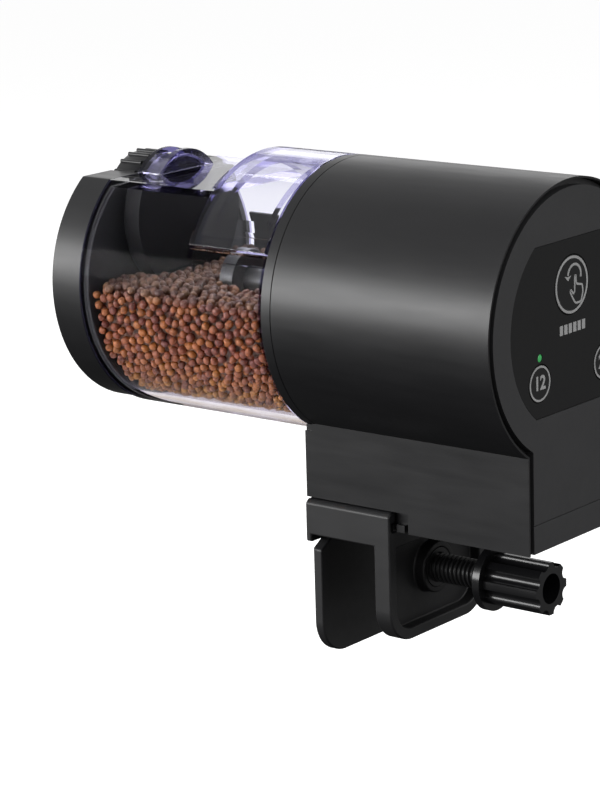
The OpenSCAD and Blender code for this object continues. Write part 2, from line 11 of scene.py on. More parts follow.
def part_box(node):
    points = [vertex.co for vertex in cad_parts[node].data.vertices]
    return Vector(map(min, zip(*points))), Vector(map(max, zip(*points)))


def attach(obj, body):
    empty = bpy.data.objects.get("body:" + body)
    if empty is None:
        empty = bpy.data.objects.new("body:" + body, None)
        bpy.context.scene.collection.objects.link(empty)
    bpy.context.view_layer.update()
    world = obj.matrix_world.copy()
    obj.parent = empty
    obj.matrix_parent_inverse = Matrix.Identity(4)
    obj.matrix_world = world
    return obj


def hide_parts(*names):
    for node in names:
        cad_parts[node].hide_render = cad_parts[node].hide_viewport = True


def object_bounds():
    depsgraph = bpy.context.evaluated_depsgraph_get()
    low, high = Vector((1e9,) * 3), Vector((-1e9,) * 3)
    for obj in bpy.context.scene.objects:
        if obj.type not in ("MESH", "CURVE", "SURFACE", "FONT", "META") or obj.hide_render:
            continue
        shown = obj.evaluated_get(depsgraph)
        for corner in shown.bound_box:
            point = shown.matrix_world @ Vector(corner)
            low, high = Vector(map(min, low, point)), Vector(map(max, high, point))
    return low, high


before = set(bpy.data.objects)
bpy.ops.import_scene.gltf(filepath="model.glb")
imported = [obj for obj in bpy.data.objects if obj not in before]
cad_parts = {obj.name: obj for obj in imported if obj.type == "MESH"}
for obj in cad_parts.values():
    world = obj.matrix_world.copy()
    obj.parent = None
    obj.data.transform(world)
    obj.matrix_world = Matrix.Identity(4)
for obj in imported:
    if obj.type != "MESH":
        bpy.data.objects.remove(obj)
cad_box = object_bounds()
scene = bpy.context.scene
mm = 0.001


# ---------------------------------------------------------------- camera and studio
# A long lens, a little above the barrel's axis and off its panel end. A low strip, an
# overhead panel that nothing mirrors, a card behind and a fill for the control panel light
# the feeder. The sky is banded for mirrored rays and white for the camera, which alone sees the floor.
turn, tilt, roll = math.radians(38.67), math.radians(13.75), math.radians(-1.66)
lens = bpy.data.cameras.new("camera")
lens.lens, lens.shift_x, lens.shift_y = 136.36, -0.009, -0.0029
camera = bpy.data.objects.new("camera", lens)
camera.matrix_world = (
    Matrix.Translation((0.4404, -0.5728, 0.2234)) @ Matrix.Rotation(turn, 4, "Z")
    @ Matrix.Rotation(math.pi / 2 - tilt, 4, "X") @ Matrix.Rotation(roll, 4, "Z"))
scene.collection.objects.link(camera)
scene.camera = camera
scene.view_settings.view_transform = "Standard"


def place(name, mesh):
    """A new object at the origin, with its place in its mesh."""
    made = bpy.data.objects.new(name, mesh)
    scene.collection.objects.link(made)
    return made


def strip_light(name, middle, aim, width, height, power, mirrored=True):
    lamp = bpy.data.lights.new(name, "AREA")
    lamp.shape, lamp.size, lamp.size_y = "RECTANGLE", width, height
    lamp.energy = power
    holder = bpy.data.objects.new(name, lamp)
    holder.location = middle
    holder.rotation_euler = (Vector(aim) - Vector(middle)).to_track_quat("-Z", "Y").to_euler()
    holder.visible_glossy, holder.visible_camera = mirrored, False
    scene.collection.objects.link(holder)


centre = (Vector(cad_box[0]) + Vector(cad_box[1])) / 2
strip_light("side_strip", centre + Vector((-0.6, -0.8, 0.18)), centre, 1.5, 0.32, 12.5)
strip_light("overhead", centre + Vector((-0.25, 0.45, 0.95)), centre, 0.9, 0.5, 10, mirrored=False)
strip_light("back_card", centre + Vector((-0.8, 1.04, 0.38)), centre, 1.3, 0.5, 2.2)
strip_light("panel_fill", centre + Vector((1.1, 0.15, 0.35)), centre, 0.8, 0.8, 3.8)

floor_mesh = bpy.data.meshes.new("floor")
reach, drop = 6.0, 0.16
low = cad_box[0][2] - drop
corners = ((-reach, -reach), (reach, -reach), (reach, reach), (-reach, reach))
floor_mesh.from_pydata([(x, y, low) for x, y in corners], [], [(0, 1, 2, 3)])
floor = place("floor", floor_mesh)
floor.visible_glossy = False
floor.visible_diffuse = False
floor_paint = bpy.data.materials.new("floor_paint")
floor_paint.use_nodes = True
paint = floor_paint.node_tree.nodes["Principled BSDF"]
paint.inputs["Base Color"].default_value = (0.5, 0.5, 0.5, 1)
paint.inputs["Roughness"].default_value = 0.9
paint.inputs["Specular IOR Level"].default_value = 0.0
paint.inputs["Emission Color"].default_value = (1, 1, 1, 1)
paint.inputs["Emission Strength"].default_value = 0.78
floor.data.materials.append(floor_paint)

sky = bpy.data.worlds.new("sky")
scene.world = sky
sky.use_nodes = True
web = sky.node_tree
web.nodes.clear()
seen = web.nodes.new("ShaderNodeBackground")
seen.inputs["Color"].default_value = (1, 1, 1, 1)
around = web.nodes.new("ShaderNodeBackground")
around.inputs["Strength"].default_value = 0.6
direction = web.nodes.new("ShaderNodeTexCoord")
split = web.nodes.new("ShaderNodeSeparateXYZ")
web.links.new(direction.outputs["Generated"], split.inputs[0])
height = web.nodes.new("ShaderNodeMapRange")
height.inputs["From Min"].default_value = -1.0
web.links.new(split.outputs["Z"], height.inputs["Value"])
bands = web.nodes.new("ShaderNodeValToRGB")
bands.color_ramp.elements[0].color = (0.02, 0.02, 0.02, 1)
bands.color_ramp.elements[1].color = (0.3, 0.3, 0.3, 1)
for share, level in ((0.2, 0.06), (0.34, 0.36), (0.45, 0.33), (0.55, 0.28), (0.75, 0.85),
                     (0.88, 0.9), (0.96, 0.35)):
    bands.color_ramp.elements.new(share).color = (level, level, level, 1)
web.links.new(height.outputs["Result"], bands.inputs["Fac"])
web.links.new(bands.outputs["Color"], around.inputs["Color"])
ray = web.nodes.new("ShaderNodeLightPath")
either = web.nodes.new("ShaderNodeMath")
either.operation = "MAXIMUM"
web.links.new(ray.outputs["Is Camera Ray"], either.inputs[0])
web.links.new(ray.outputs["Is Transmission Ray"], either.inputs[1])
blend = web.nodes.new("ShaderNodeMixShader")
web.links.new(either.outputs[0], blend.inputs["Fac"])
web.links.new(around.outputs[0], blend.inputs[1])
web.links.new(seen.outputs[0], blend.inputs[2])
out = web.nodes.new("ShaderNodeOutputWorld")
web.links.new(blend.outputs[0], out.inputs["Surface"])


# ---------------------------------------------------------------- clamp bracket
# One glass-filled nylon moulding: a bar that slides on rails in the housing's base, a
# flat fixed jaw, and a ribbed leg for the screw. Its edges are eased as a mould leaves them.
def eased_copy(node, name, edge=0.3 * mm, steps=2, sharp=25):
    """The CAD solid with its triangles merged and its longer edges rounded to edge."""
    work = bmesh.new()
    work.from_mesh(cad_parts[node].data)
    bmesh.ops.remove_doubles(work, verts=work.verts, dist=0.002 * mm)
    bmesh.ops.dissolve_limit(work, angle_limit=math.radians(0.7), verts=work.verts[:],
                             edges=work.edges[:])
    bmesh.ops.delete(work, geom=[v for v in work.verts if not v.link_faces], context="VERTS")

    def has_room(line):
        for corner in line.verts:
            along = (line.other_vert(corner).co - corner.co).normalized()
            for other in corner.link_edges:
                if other is line:
                    continue
                way = other.other_vert(corner).co - corner.co
                if way.length < 2.1 * edge and abs(way.normalized().dot(along)) < 0.8:
                    return False
        return True

    limit = math.radians(sharp)
    crisp = [e for e in work.edges if e.is_manifold and e.calc_face_angle(0) > limit and has_room(e)]
    if edge:
        bmesh.ops.bevel(work, geom=crisp, offset=edge, segments=steps, profile=0.5,
                        affect="EDGES", clamp_overlap=True)
    bmesh.ops.remove_doubles(work, verts=work.verts, dist=0.001 * mm)
    work.verts.index_update()
    mesh = bpy.data.meshes.new(name)
    faces = [[v.index for v in f.verts] for f in work.faces]
    mesh.from_pydata([v.co[:] for v in work.verts], [], faces)
    work.free()
    mesh.shade_smooth()
    mesh.set_sharp_from_angle(angle=math.radians(40))
    made = place(name, mesh)
    made.modifiers.new("flat_faces", "WEIGHTED_NORMAL").keep_sharp = True
    return made


def stands_for(piece, body, slot, *nodes):
    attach(piece, body)
    if nodes:
        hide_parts(*nodes)


def dressed(node, name, body, slot, finish, edge, steps=2):
    """An eased copy of a CAD node, in its finish and in the node's place."""
    piece = eased_copy(node, name, edge, steps)
    piece.data.materials.append(finish)
    stands_for(piece, body, slot, node)


def add_noise(tree, scale, detail=3.0, stretch=(1, 1, 1), kind="ShaderNodeTexNoise"):
    """Noise on Object coordinates; its value output."""
    where = tree.nodes.new("ShaderNodeTexCoord")
    mapping = tree.nodes.new("ShaderNodeMapping")
    mapping.inputs["Scale"].default_value = stretch
    tree.links.new(where.outputs["Object"], mapping.inputs["Vector"])
    noise = tree.nodes.new(kind)
    noise.inputs["Scale"].default_value = scale
    if "Detail" in noise.inputs:
        noise.inputs["Detail"].default_value = detail
    tree.links.new(mapping.outputs["Vector"], noise.inputs["Vector"])
    return noise.outputs["Distance" if kind == "ShaderNodeTexVoronoi" else 0]


def ranged(tree, value, low, high, start=0.3, stop=0.7):
    """value spread from low to high between start and stop."""
    spread = tree.nodes.new("ShaderNodeMapRange")
    for label, number in (("From Min", start), ("From Max", stop), ("To Min", low), ("To Max", high)):
        spread.inputs[label].default_value = number
    tree.links.new(value, spread.inputs["Value"])
    return spread.outputs["Result"]


def tinted(tree, value, dark, light, start=0.3, stop=0.7):
    """Colour from dark to light as value goes from start to stop."""
    ramp = tree.nodes.new("ShaderNodeValToRGB")
    ramp.color_ramp.elements[0].position, ramp.color_ramp.elements[1].position = start, stop
    ramp.color_ramp.elements[0].color = (*dark, 1)
    ramp.color_ramp.elements[1].color = (*light, 1)
    tree.links.new(value, ramp.inputs["Fac"])
    return ramp.outputs["Color"]


def new_finish(name):
    finish = bpy.data.materials.new(name)
    finish.use_nodes = True
    return finish, finish.node_tree, finish.node_tree.nodes["Principled BSDF"]


def roughen(tree, shader, value, depth, strength=1.0):
    bump = tree.nodes.new("ShaderNodeBump")
    bump.inputs["Strength"].default_value = strength
    bump.inputs["Distance"].default_value = depth
    tree.links.new(value, bump.inputs["Height"])
    tree.links.new(bump.outputs["Normal"], shader.inputs["Normal"])


def moulded(name, colour, gloss, grain=0.35, texture=0.012 * mm, spread=0.14, flow=(1, 1, 1), coat=0.0):
    """Moulded plastic: spark-eroded grain, cloudy colour, handled patches and fine rubs."""
    finish, tree, shader = new_finish(name)
    cloud = add_noise(tree, 90, 5, flow)
    dark = [c * (1 - spread) for c in colour]
    light = [c * (1 + spread) for c in colour]
    tree.links.new(tinted(tree, cloud, dark, light), shader.inputs["Base Color"])
    rub = add_noise(tree, 420, 4, (0.15, 1, 1))
    patch = add_noise(tree, 60, 3)
    both = tree.nodes.new("ShaderNodeMath")
    both.operation = "ADD"
    tree.links.new(ranged(tree, patch, gloss - 0.015, gloss + 0.015), both.inputs[0])
    tree.links.new(ranged(tree, rub, -0.025, 0.03), both.inputs[1])
    tree.links.new(both.outputs[0], shader.inputs["Roughness"])
    roughen(tree, shader, add_noise(tree, 1.0 / (grain * mm), 2), texture, 0.6)
    shader.inputs["Coat Weight"].default_value = coat
    shader.inputs["Coat Roughness"].default_value = 0.12
    return finish


dressed("clamp_bracket", "clamp_bracket_moulding", "bracket", "bracket_black",
        moulded("bracket_nylon", (0.014, 0.014, 0.015), 0.46, grain=0.3), 0.45 * mm, 3)


# ---------------------------------------------------------------- screw sleeve and pad
# The sleeve is a threaded nylon insert pressed into the leg. The pad is a soft foot that
# snaps on the screw's ball end and stays still against the glass while the screw turns.
sleeve_nylon = moulded("sleeve_nylon", (0.016, 0.016, 0.017), 0.4, grain=0.2)
dressed("thread_insert", "screw_sleeve", "bracket", "screw_black", sleeve_nylon, 0.15 * mm)

dressed("screw_pad", "pad_moulding", "pad", "pad_rubber",
        moulded("pad_rubber", (0.022, 0.022, 0.024), 0.72, grain=0.5, texture=0.03 * mm),
        0.35 * mm, 3)


# ---------------------------------------------------------------- clamp screw
# A nylon screw with a moulded right-hand trapezoid thread. The tree winds the ridge round
# a plain rod: a point sinks by the thread's depth unless it lies on the ridge.
def node_tree(name, inputs):
    """A Geometry Nodes tree with named inputs; (tree, its input node)."""
    tree = bpy.data.node_groups.new(name, "GeometryNodeTree")
    tree.interface.new_socket("Geometry", in_out="OUTPUT", socket_type="NodeSocketGeometry")
    for label, kind in inputs:
        tree.interface.new_socket(label, in_out="INPUT", socket_type="NodeSocket" + kind)
    return tree, tree.nodes.new("NodeGroupInput")


def calc(tree, operation, *values):
    """A math node; numbers are set and sockets are linked."""
    node = tree.nodes.new("ShaderNodeMath")
    node.operation = operation
    for socket, value in zip(node.inputs, values):
        if isinstance(value, (int, float)):
            socket.default_value = value
        else:
            tree.links.new(value, socket)
    return node.outputs[0]


def end_tree(tree, geometry):
    """Realize, smooth and Set Material, which every tree here ends in."""
    given = next(n for n in tree.nodes if n.bl_idname == "NodeGroupInput")
    real = tree.nodes.new("GeometryNodeRealizeInstances")
    smooth = tree.nodes.new("GeometryNodeSetShadeSmooth")
    paint = tree.nodes.new("GeometryNodeSetMaterial")
    result = tree.nodes.new("NodeGroupOutput")
    tree.links.new(geometry, real.inputs["Geometry"])
    tree.links.new(real.outputs["Geometry"], smooth.inputs["Geometry"])
    tree.links.new(smooth.outputs["Geometry"], paint.inputs["Geometry"])
    tree.links.new(given.outputs["Finish"], paint.inputs["Material"])
    tree.links.new(paint.outputs["Geometry"], result.inputs[0])


def grow(tree, name, values, points=None, sharp=40):
    """Runs the tree once and keeps its result as a plain mesh."""
    start = bpy.data.meshes.new(name)
    if points is not None:
        start.from_pydata(points, [], [])
    made = place(name, start)
    nodes = made.modifiers.new("nodes", "NODES")
    nodes.node_group = tree
    for item in tree.interface.items_tree:
        if item.in_out == "INPUT" and item.name in values:
            nodes[item.identifier] = values[item.name]
    graph = bpy.context.evaluated_depsgraph_get()
    mesh = bpy.data.meshes.new_from_object(
        made.evaluated_get(graph), preserve_all_data_layers=True, depsgraph=graph)
    mesh.name = name
    # the tree leaves an empty first slot, which a piece merged in later would fall into
    mesh.materials.clear()
    mesh.materials.append(values["Finish"])
    mesh.polygons.foreach_set("material_index", [0] * len(mesh.polygons))
    made.modifiers.remove(nodes)
    made.data = mesh
    mesh.set_sharp_from_angle(angle=math.radians(sharp))
    return made


screw_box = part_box("clamp_screw")
screw_z = (screw_box[0].z + screw_box[1].z) / 2
thread_r = (screw_box[1].z - screw_box[0].z) / 2
collar_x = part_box("screw_knob")[0].x
thread_pitch = 1.25 * mm
thread, given = node_tree("thread", [
    ("Radius", "Float"), ("Depth", "Float"), ("Pitch", "Float"), ("Start", "Float"),
    ("Length", "Float"), ("Height", "Float"), ("Rows", "Int"), ("Finish", "Material")])
rod = thread.nodes.new("GeometryNodeMeshCylinder")
rod.inputs["Vertices"].default_value = 40
thread.links.new(given.outputs["Rows"], rod.inputs["Side Segments"])
thread.links.new(given.outputs["Radius"], rod.inputs["Radius"])
thread.links.new(given.outputs["Length"], rod.inputs["Depth"])
spot = thread.nodes.new("GeometryNodeInputPosition")
parts = thread.nodes.new("ShaderNodeSeparateXYZ")
thread.links.new(spot.outputs[0], parts.inputs[0])
angle = calc(thread, "DIVIDE", calc(thread, "ARCTAN2", parts.outputs[1], parts.outputs[0]), 2 * math.pi)
turns_up = calc(thread, "DIVIDE", parts.outputs[2], given.outputs["Pitch"])
wound = calc(thread, "FRACT", calc(thread, "ADD", calc(thread, "SUBTRACT", turns_up, angle), 100.0))
crest_half, flank = 0.12, 0.2
off_middle = calc(thread, "ABSOLUTE", calc(thread, "SUBTRACT", wound, 0.5))
off_ridge = calc(thread, "SUBTRACT", off_middle, crest_half)
down_flank = calc(thread, "DIVIDE", off_ridge, flank)
sunk = calc(thread, "MINIMUM", calc(thread, "MAXIMUM", down_flank, 0.0), 1.0)
scale = calc(thread, "SUBTRACT", 1.0, calc(
    thread, "DIVIDE", calc(thread, "MULTIPLY", sunk, given.outputs["Depth"]), given.outputs["Radius"]))
joined = thread.nodes.new("ShaderNodeCombineXYZ")
thread.links.new(calc(thread, "MULTIPLY", parts.outputs[0], scale), joined.inputs[0])
thread.links.new(calc(thread, "MULTIPLY", parts.outputs[1], scale), joined.inputs[1])
thread.links.new(parts.outputs[2], joined.inputs[2])
wind = thread.nodes.new("GeometryNodeSetPosition")
thread.links.new(rod.outputs["Mesh"], wind.inputs["Geometry"])
thread.links.new(joined.outputs[0], wind.inputs["Position"])
lay = thread.nodes.new("GeometryNodeTransform")
lay.inputs["Rotation"].default_value = (0, math.pi / 2, 0)
spot_on = thread.nodes.new("ShaderNodeCombineXYZ")
thread.links.new(calc(thread, "ADD", given.outputs["Start"], calc(
    thread, "DIVIDE", given.outputs["Length"], 2.0)), spot_on.inputs[0])
thread.links.new(given.outputs["Height"], spot_on.inputs[2])
thread.links.new(spot_on.outputs[0], lay.inputs["Translation"])
thread.links.new(wind.outputs["Geometry"], lay.inputs["Geometry"])
end_tree(thread, lay.outputs["Geometry"])

screw_nylon = moulded("screw_nylon", (0.02, 0.02, 0.021), 0.34, grain=0.25, texture=0.006 * mm)
ball_x, ball_long, rows_per_turn = screw_box[0].x, 1.4 * mm, 14
screw_start = ball_x + ball_long
screw_length = collar_x - screw_start + 0.5 * mm
screw = grow(thread, "clamp_screw_thread", {
    "Radius": thread_r, "Depth": 0.75 * mm, "Pitch": thread_pitch, "Start": screw_start,
    "Length": screw_length, "Height": screw_z,
    "Rows": round(screw_length / thread_pitch * rows_per_turn), "Finish": screw_nylon}, sharp=75)


def turned(profile, name, centre, around=96, closed_ends=True):
    """A lathe-turned solid along X from (x, radius) points, about centre = (y, z)."""
    rings, faces, points = [], [], []
    for x, radius in profile:
        if radius < 1e-7:
            rings.append([len(points)])
            points.append((x, centre[0], centre[1]))
            continue
        rings.append(list(range(len(points), len(points) + around)))
        points += [(x, centre[0] + radius * math.cos(2 * math.pi * k / around),
                    centre[1] + radius * math.sin(2 * math.pi * k / around)) for k in range(around)]
    pairs = list(zip(rings, rings[1:]))
    if not closed_ends:
        pairs.append((rings[-1], rings[0]))
    for one, two in pairs:
        for k in range(around):
            after = (k + 1) % around
            face = [one[k % len(one)], one[after % len(one)],
                    two[after % len(two)], two[k % len(two)]]
            faces.append(list(dict.fromkeys(face)))
    mesh = bpy.data.meshes.new(name)
    mesh.from_pydata(points, [], [f for f in faces if len(f) > 2])
    work = bmesh.new()
    work.from_mesh(mesh)
    bmesh.ops.recalc_face_normals(work, faces=work.faces)
    work.to_mesh(mesh)
    work.free()
    mesh.shade_smooth()
    mesh.set_sharp_from_angle(angle=math.radians(40))
    return mesh


def merge_into(piece, mesh):
    """Adds a mesh with the same single material to a piece."""
    work = bmesh.new()
    work.from_mesh(piece.data)
    work.from_mesh(mesh)
    work.to_mesh(piece.data)
    work.free()


ball_r, ball_ease, overlap = 1.8 * mm, 0.4 * mm, 0.1 * mm
ball_end = turned([(ball_x, 0), (ball_x, 1.3 * mm), (ball_x + ball_ease, ball_r),
                   (screw_start + overlap, ball_r), (screw_start + overlap, 0)],
                  "ball_end", (0, screw_z), 32)
merge_into(screw, ball_end)
stands_for(screw, "screw", "screw_black", "clamp_screw")


# ---------------------------------------------------------------- knob
# A hollow knob moulded on the screw's end, with eight flutes and a collar. Use has
# polished its lands, so it is the glossiest of the black pieces.
dressed("screw_knob", "knob_moulding", "screw", "knob_black",
        moulded("knob_gloss", (0.008, 0.008, 0.0088), 0.2, grain=0.6, texture=0.004 * mm),
        0.4 * mm, 3)


# ---------------------------------------------------------------- housing
# The main shell is one ABS moulding, a tube on a battery base with a satin eroded finish.
# The rear cover closes it with four self-tapping screws from the barrel's side.
shell_abs = moulded("shell_abs", (0.0105, 0.0105, 0.0115), 0.36, grain=0.28, flow=(0.3, 1, 1))
dressed("main_shell", "housing_shell", "housing", "shell_black", shell_abs, 0.2 * mm)
dressed("rear_cover", "housing_cover", "housing", "shell_black", shell_abs, 0.4 * mm, 3)


def plated(name, colour, gloss, stretch=(1, 1, 1), patina=0.12):
    """Plated or turned metal: fine drawn lines, mottled plating and dull spots."""
    finish, tree, shader = new_finish(name)
    mottle = add_noise(tree, 260, 5)
    worn = [c * (1 - patina) for c in colour]
    tree.links.new(tinted(tree, mottle, worn, colour), shader.inputs["Base Color"])
    lines = add_noise(tree, 900, 4, stretch)
    tree.links.new(ranged(tree, lines, gloss - 0.08, gloss + 0.1), shader.inputs["Roughness"])
    roughen(tree, shader, lines, 0.004 * mm, 0.5)
    shader.inputs["Metallic"].default_value = 1.0
    return finish


zinc = plated("zinc_plate", (0.66, 0.67, 0.68), 0.3, (1, 0.3, 0.3))
dressed("case_screws", "case_screw_heads", "housing", "zinc_steel", zinc, 0.2 * mm)


# ---------------------------------------------------------------- control panel
# The panel is a separate dark grey moulding that closes the housing, set off by a shadow
# groove. A smooth printed film lies in its recess, level on top and bottom, round at the sides.
panel_abs = moulded("panel_abs", (0.043, 0.043, 0.045), 0.5, grain=0.25, texture=0.008 * mm,
                    spread=0.05)
dressed("front_panel", "panel_moulding", "housing", "panel_black", panel_abs, 0.25 * mm)

film_finish = moulded("film_ink", (0.0085, 0.0085, 0.009), 0.4, grain=0.5, texture=0.002 * mm,
                      spread=0.06)
film_finish.node_tree.nodes["Principled BSDF"].inputs["Specular IOR Level"].default_value = 0.36
dressed("control_membrane", "panel_film", "housing", "membrane_black", film_finish, 0.08 * mm, 1)


# ---------------------------------------------------------------- buttons and lamps
# Three film-topped buttons press switches behind the panel. Two light pipes show the
# chosen interval: the 12-hour lamp is lit green and the 24-hour lamp is off.
button_finish = moulded("button_film", (0.0075, 0.0075, 0.008), 0.3, grain=0.5, texture=0.002 * mm,
                        spread=0.06)
for node, body in (("manual_button", "button_manual"), ("timer_12_button", "button_12"),
                   ("timer_24_button", "button_24")):
    dressed(node, node + "_key", body, "button_black", button_finish, 0.12 * mm)


def lamp_lens(name, colour, glow):
    """A light pipe's end, cloudy in colour, glowing evenly from the diode behind it."""
    finish, tree, shader = new_finish(name)
    cloud = add_noise(tree, 1500, 3)
    tree.links.new(tinted(tree, cloud, [c * 0.75 for c in colour], colour), shader.inputs["Base Color"])
    shader.inputs["Roughness"].default_value = 0.22
    shader.inputs["Emission Color"].default_value = (*colour, 1)
    shader.inputs["Emission Strength"].default_value = glow
    return finish


for node, slot, colour, glow in (("led_12", "led_green", (0.06, 0.42, 0.12), 0.3),
                                 ("led_24", "led_off", (0.045, 0.08, 0.05), 0.0)):
    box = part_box(node)
    middle = ((box[0].y + box[1].y) / 2, (box[0].z + box[1].z) / 2)
    wide, start, end = (box[1].y - box[0].y) / 2, box[0].x, box[1].x
    stem_r, step, dome = 0.7 * mm, box[1].x - 3.1 * mm, 0.3 * mm
    pipe = place(node + "_lens", turned(
        [(start, 0), (start, stem_r), (step, stem_r), (step, wide)]
        + [(end - dome * (1 - math.sin(a)), wide * math.cos(a)) for a in (0.0, 0.3, 0.6, 0.9, 1.2)]
        + [(end, 0)], node, middle, 24))
    pipe.data.materials.append(lamp_lens(node + "_lens", colour, glow))
    stands_for(pipe, "housing", slot, node)


# ---------------------------------------------------------------- printed marks
# Pale ink screened on the film and keys: a ring round each key, a pointing hand under a
# turning arrow, the two intervals in hours, and a row of plain bars below the big key.
ink = moulded("print_ink", (0.46, 0.46, 0.46), 0.55, grain=0.3, texture=0.003 * mm, spread=0.08)
shaft_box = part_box("drive_shaft")
axis_z = (shaft_box[0].z + shaft_box[1].z) / 2
film_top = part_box("control_membrane")[1].x
ink_deep, ink_proud = film_top - 0.01 * mm, film_top + 0.045 * mm


def ink_prism(work, outline, holes_to=None):
    """Adds a thin closed solid with this (y, z) outline in mm about the barrel's axis.
    holes_to is a second outline of as many points, for a ring between the two."""
    def ring(points, x):
        return [work.verts.new((x, y * mm, axis_z + z * mm)) for y, z in points]
    count = len(outline)
    lower, upper = ring(outline, ink_deep), ring(outline, ink_proud)
    sides = [(lower, upper)]
    if holes_to:
        inner_low, inner_up = ring(holes_to, ink_deep), ring(holes_to, ink_proud)
        sides += [(upper, inner_up), (inner_up, inner_low), (inner_low, lower)]
    for one, two in sides:
        for k in range(count):
            after = (k + 1) % count
            work.faces.new((one[k], one[after], two[after], two[k]))
    if not holes_to:
        work.faces.new(lower[::-1])
        work.faces.new(upper)


def disc(y, z, radius, count=72):
    angles = [2 * math.pi * k / count for k in range(count)]
    return [(y + radius * math.cos(a), z + radius * math.sin(a)) for a in angles]


def stroke(path, width):
    """Outline of a line of this width along an open path, with blunt ends."""
    left, right = [], []
    for k, (y, z) in enumerate(path):
        before, after = path[max(k - 1, 0)], path[min(k + 1, len(path) - 1)]
        way = Vector((after[0] - before[0], after[1] - before[1])).normalized()
        left.append((y - way.y * width / 2, z + way.x * width / 2))
        right.append((y + way.y * width / 2, z - way.x * width / 2))
    return right + left[::-1]


def rounded_path(corners, steps=4):
    """A closed path through corners, with each corner cut to a short curve."""
    path = []
    for k, corner in enumerate(corners):
        here = Vector(corner)
        start = here.lerp(Vector(corners[k - 1]), 0.3)
        stop = here.lerp(Vector(corners[(k + 1) % len(corners)]), 0.3)
        for s in range(steps + 1):
            t = s / steps
            path.append(tuple(start * (1 - t) ** 2 + here * 2 * t * (1 - t) + stop * t ** 2))
    return path


def print_piece(name, body, draw):
    work = bmesh.new()
    draw(work)
    bmesh.ops.recalc_face_normals(work, faces=work.faces)
    mesh = bpy.data.meshes.new(name)
    work.to_mesh(mesh)
    work.free()
    piece = place(name, mesh)
    mesh.materials.append(ink)
    stands_for(piece, body, "print_grey")
    return piece


def draw_manual(work):
    ring_at, ring_r, line = (0.0, 9.0), 6.75, 0.62
    ink_prism(work, disc(*ring_at, ring_r, 96), disc(*ring_at, ring_r - line, 96))
    # the arrow turns over the hand's finger, from right to left
    arc_at, arc_r = (1.1, 10.9), 2.7
    arc = [(arc_at[0] + arc_r * math.cos(a), arc_at[1] + arc_r * math.sin(a))
           for a in np.linspace(math.radians(-14), math.radians(172), 28)]
    ink_prism(work, stroke(arc, line))
    tip = (arc_at[0] - arc_r + 0.02, 10.0)
    ink_prism(work, [(tip[0] - 1.35, tip[1] + 1.3), tip, (tip[0] + 1.35, tip[1] + 1.15),
                     (tip[0], tip[1] + 0.95)])
    # outline of a hand pointing up
    hand = [(0.95, 6.7), (0.95, 11.1), (2.0, 11.1), (2.0, 9.0), (4.6, 8.6), (4.9, 6.4),
            (3.9, 4.1), (1.2, 4.1), (-1.1, 7.4), (-0.3, 8.1)]
    path = rounded_path(hand)
    inner = []
    for k, (y, z) in enumerate(path):
        before, after = path[k - 1], path[(k + 1) % len(path)]
        way = Vector((after[0] - before[0], after[1] - before[1])).normalized()
        inner.append((y + way.y * 0.5, z - way.x * 0.5))
    ink_prism(work, path, inner)


def draw_bars(work):
    first, pitch, wide, high = -5.1, 1.85, 1.3, 2.3
    for k in range(6):
        left = first + k * pitch
        ink_prism(work, [(left, -high), (left + wide, -high), (left + wide, 0.0), (left, 0.0)])


print_piece("manual_key_print", "button_manual", draw_manual)
print_piece("panel_bars_print", "housing", draw_bars)

for figures, side, body in (("12", -1, "button_12"), ("24", 1, "button_24")):
    key_at = (13.4 * side, -11.8)
    piece = print_piece("hours_%s_print" % figures, body,
                        lambda work: ink_prism(work, disc(*key_at, 4.2), disc(*key_at, 3.72)))
    lettering = bpy.data.curves.new("hours_" + figures, "FONT")
    lettering.body, lettering.size = figures, 4.6
    lettering.align_x, lettering.align_y = "CENTER", "CENTER"
    lettering.extrude, lettering.offset = (ink_proud - ink_deep) / 2 / mm, 0.13
    written = bpy.data.objects.new("hours_" + figures, lettering)
    scene.collection.objects.link(written)
    graph = bpy.context.evaluated_depsgraph_get()
    letters = bpy.data.meshes.new_from_object(written.evaluated_get(graph), depsgraph=graph)
    bpy.data.objects.remove(written)
    upright = Matrix(((0, 0, mm, (ink_deep + ink_proud) / 2), (mm, 0, 0, key_at[0] * mm),
                      (0, mm, 0, axis_z + key_at[1] * mm), (0, 0, 0, 1)))
    letters.transform(upright)
    work = bmesh.new()
    work.from_mesh(letters)
    bmesh.ops.remove_doubles(work, verts=work.verts, dist=0.001 * mm)
    bmesh.ops.recalc_face_normals(work, faces=work.faces)
    work.to_mesh(letters)
    work.free()
    merge_into(piece, letters)


# ---------------------------------------------------------------- circuit board
# A glass-fibre board with green solder mask stands on the panel's posts. It carries three
# tactile switches and is held by two small plated screws.
board_mask, tree, shader = new_finish("board_mask")
tracks = add_noise(tree, 380, 0, (1, 1, 1), "ShaderNodeTexVoronoi")
weave = add_noise(tree, 2500, 2)
tree.links.new(tinted(tree, tracks, (0.012, 0.085, 0.03), (0.02, 0.16, 0.06), 0.32, 0.36),
               shader.inputs["Base Color"])
tree.links.new(ranged(tree, weave, 0.22, 0.38), shader.inputs["Roughness"])
roughen(tree, shader, tracks, 0.02 * mm, 0.5)
switch_body = moulded("switch_body", (0.05, 0.05, 0.055), 0.45)
for node, slot, finish in (("circuit_board", "circuit_green", board_mask),
                           ("tact_switches", "switch_grey", switch_body),
                           ("board_screws", "zinc_steel", zinc)):
    dressed(node, node + "_fitted", "housing", slot, finish, 0.12 * mm)


# ---------------------------------------------------------------- battery base
# Two AA cells lie side by side in a tray under the tube, between nickel-plated contacts.
# The door slides out of the base towards the panel's side and has a ribbed thumb grip.
inner_abs = moulded("inner_abs", (0.02, 0.02, 0.021), 0.55, grain=0.4)
dressed("battery_tray", "battery_tray_moulding", "housing", "inner_black", inner_abs, 0.25 * mm)

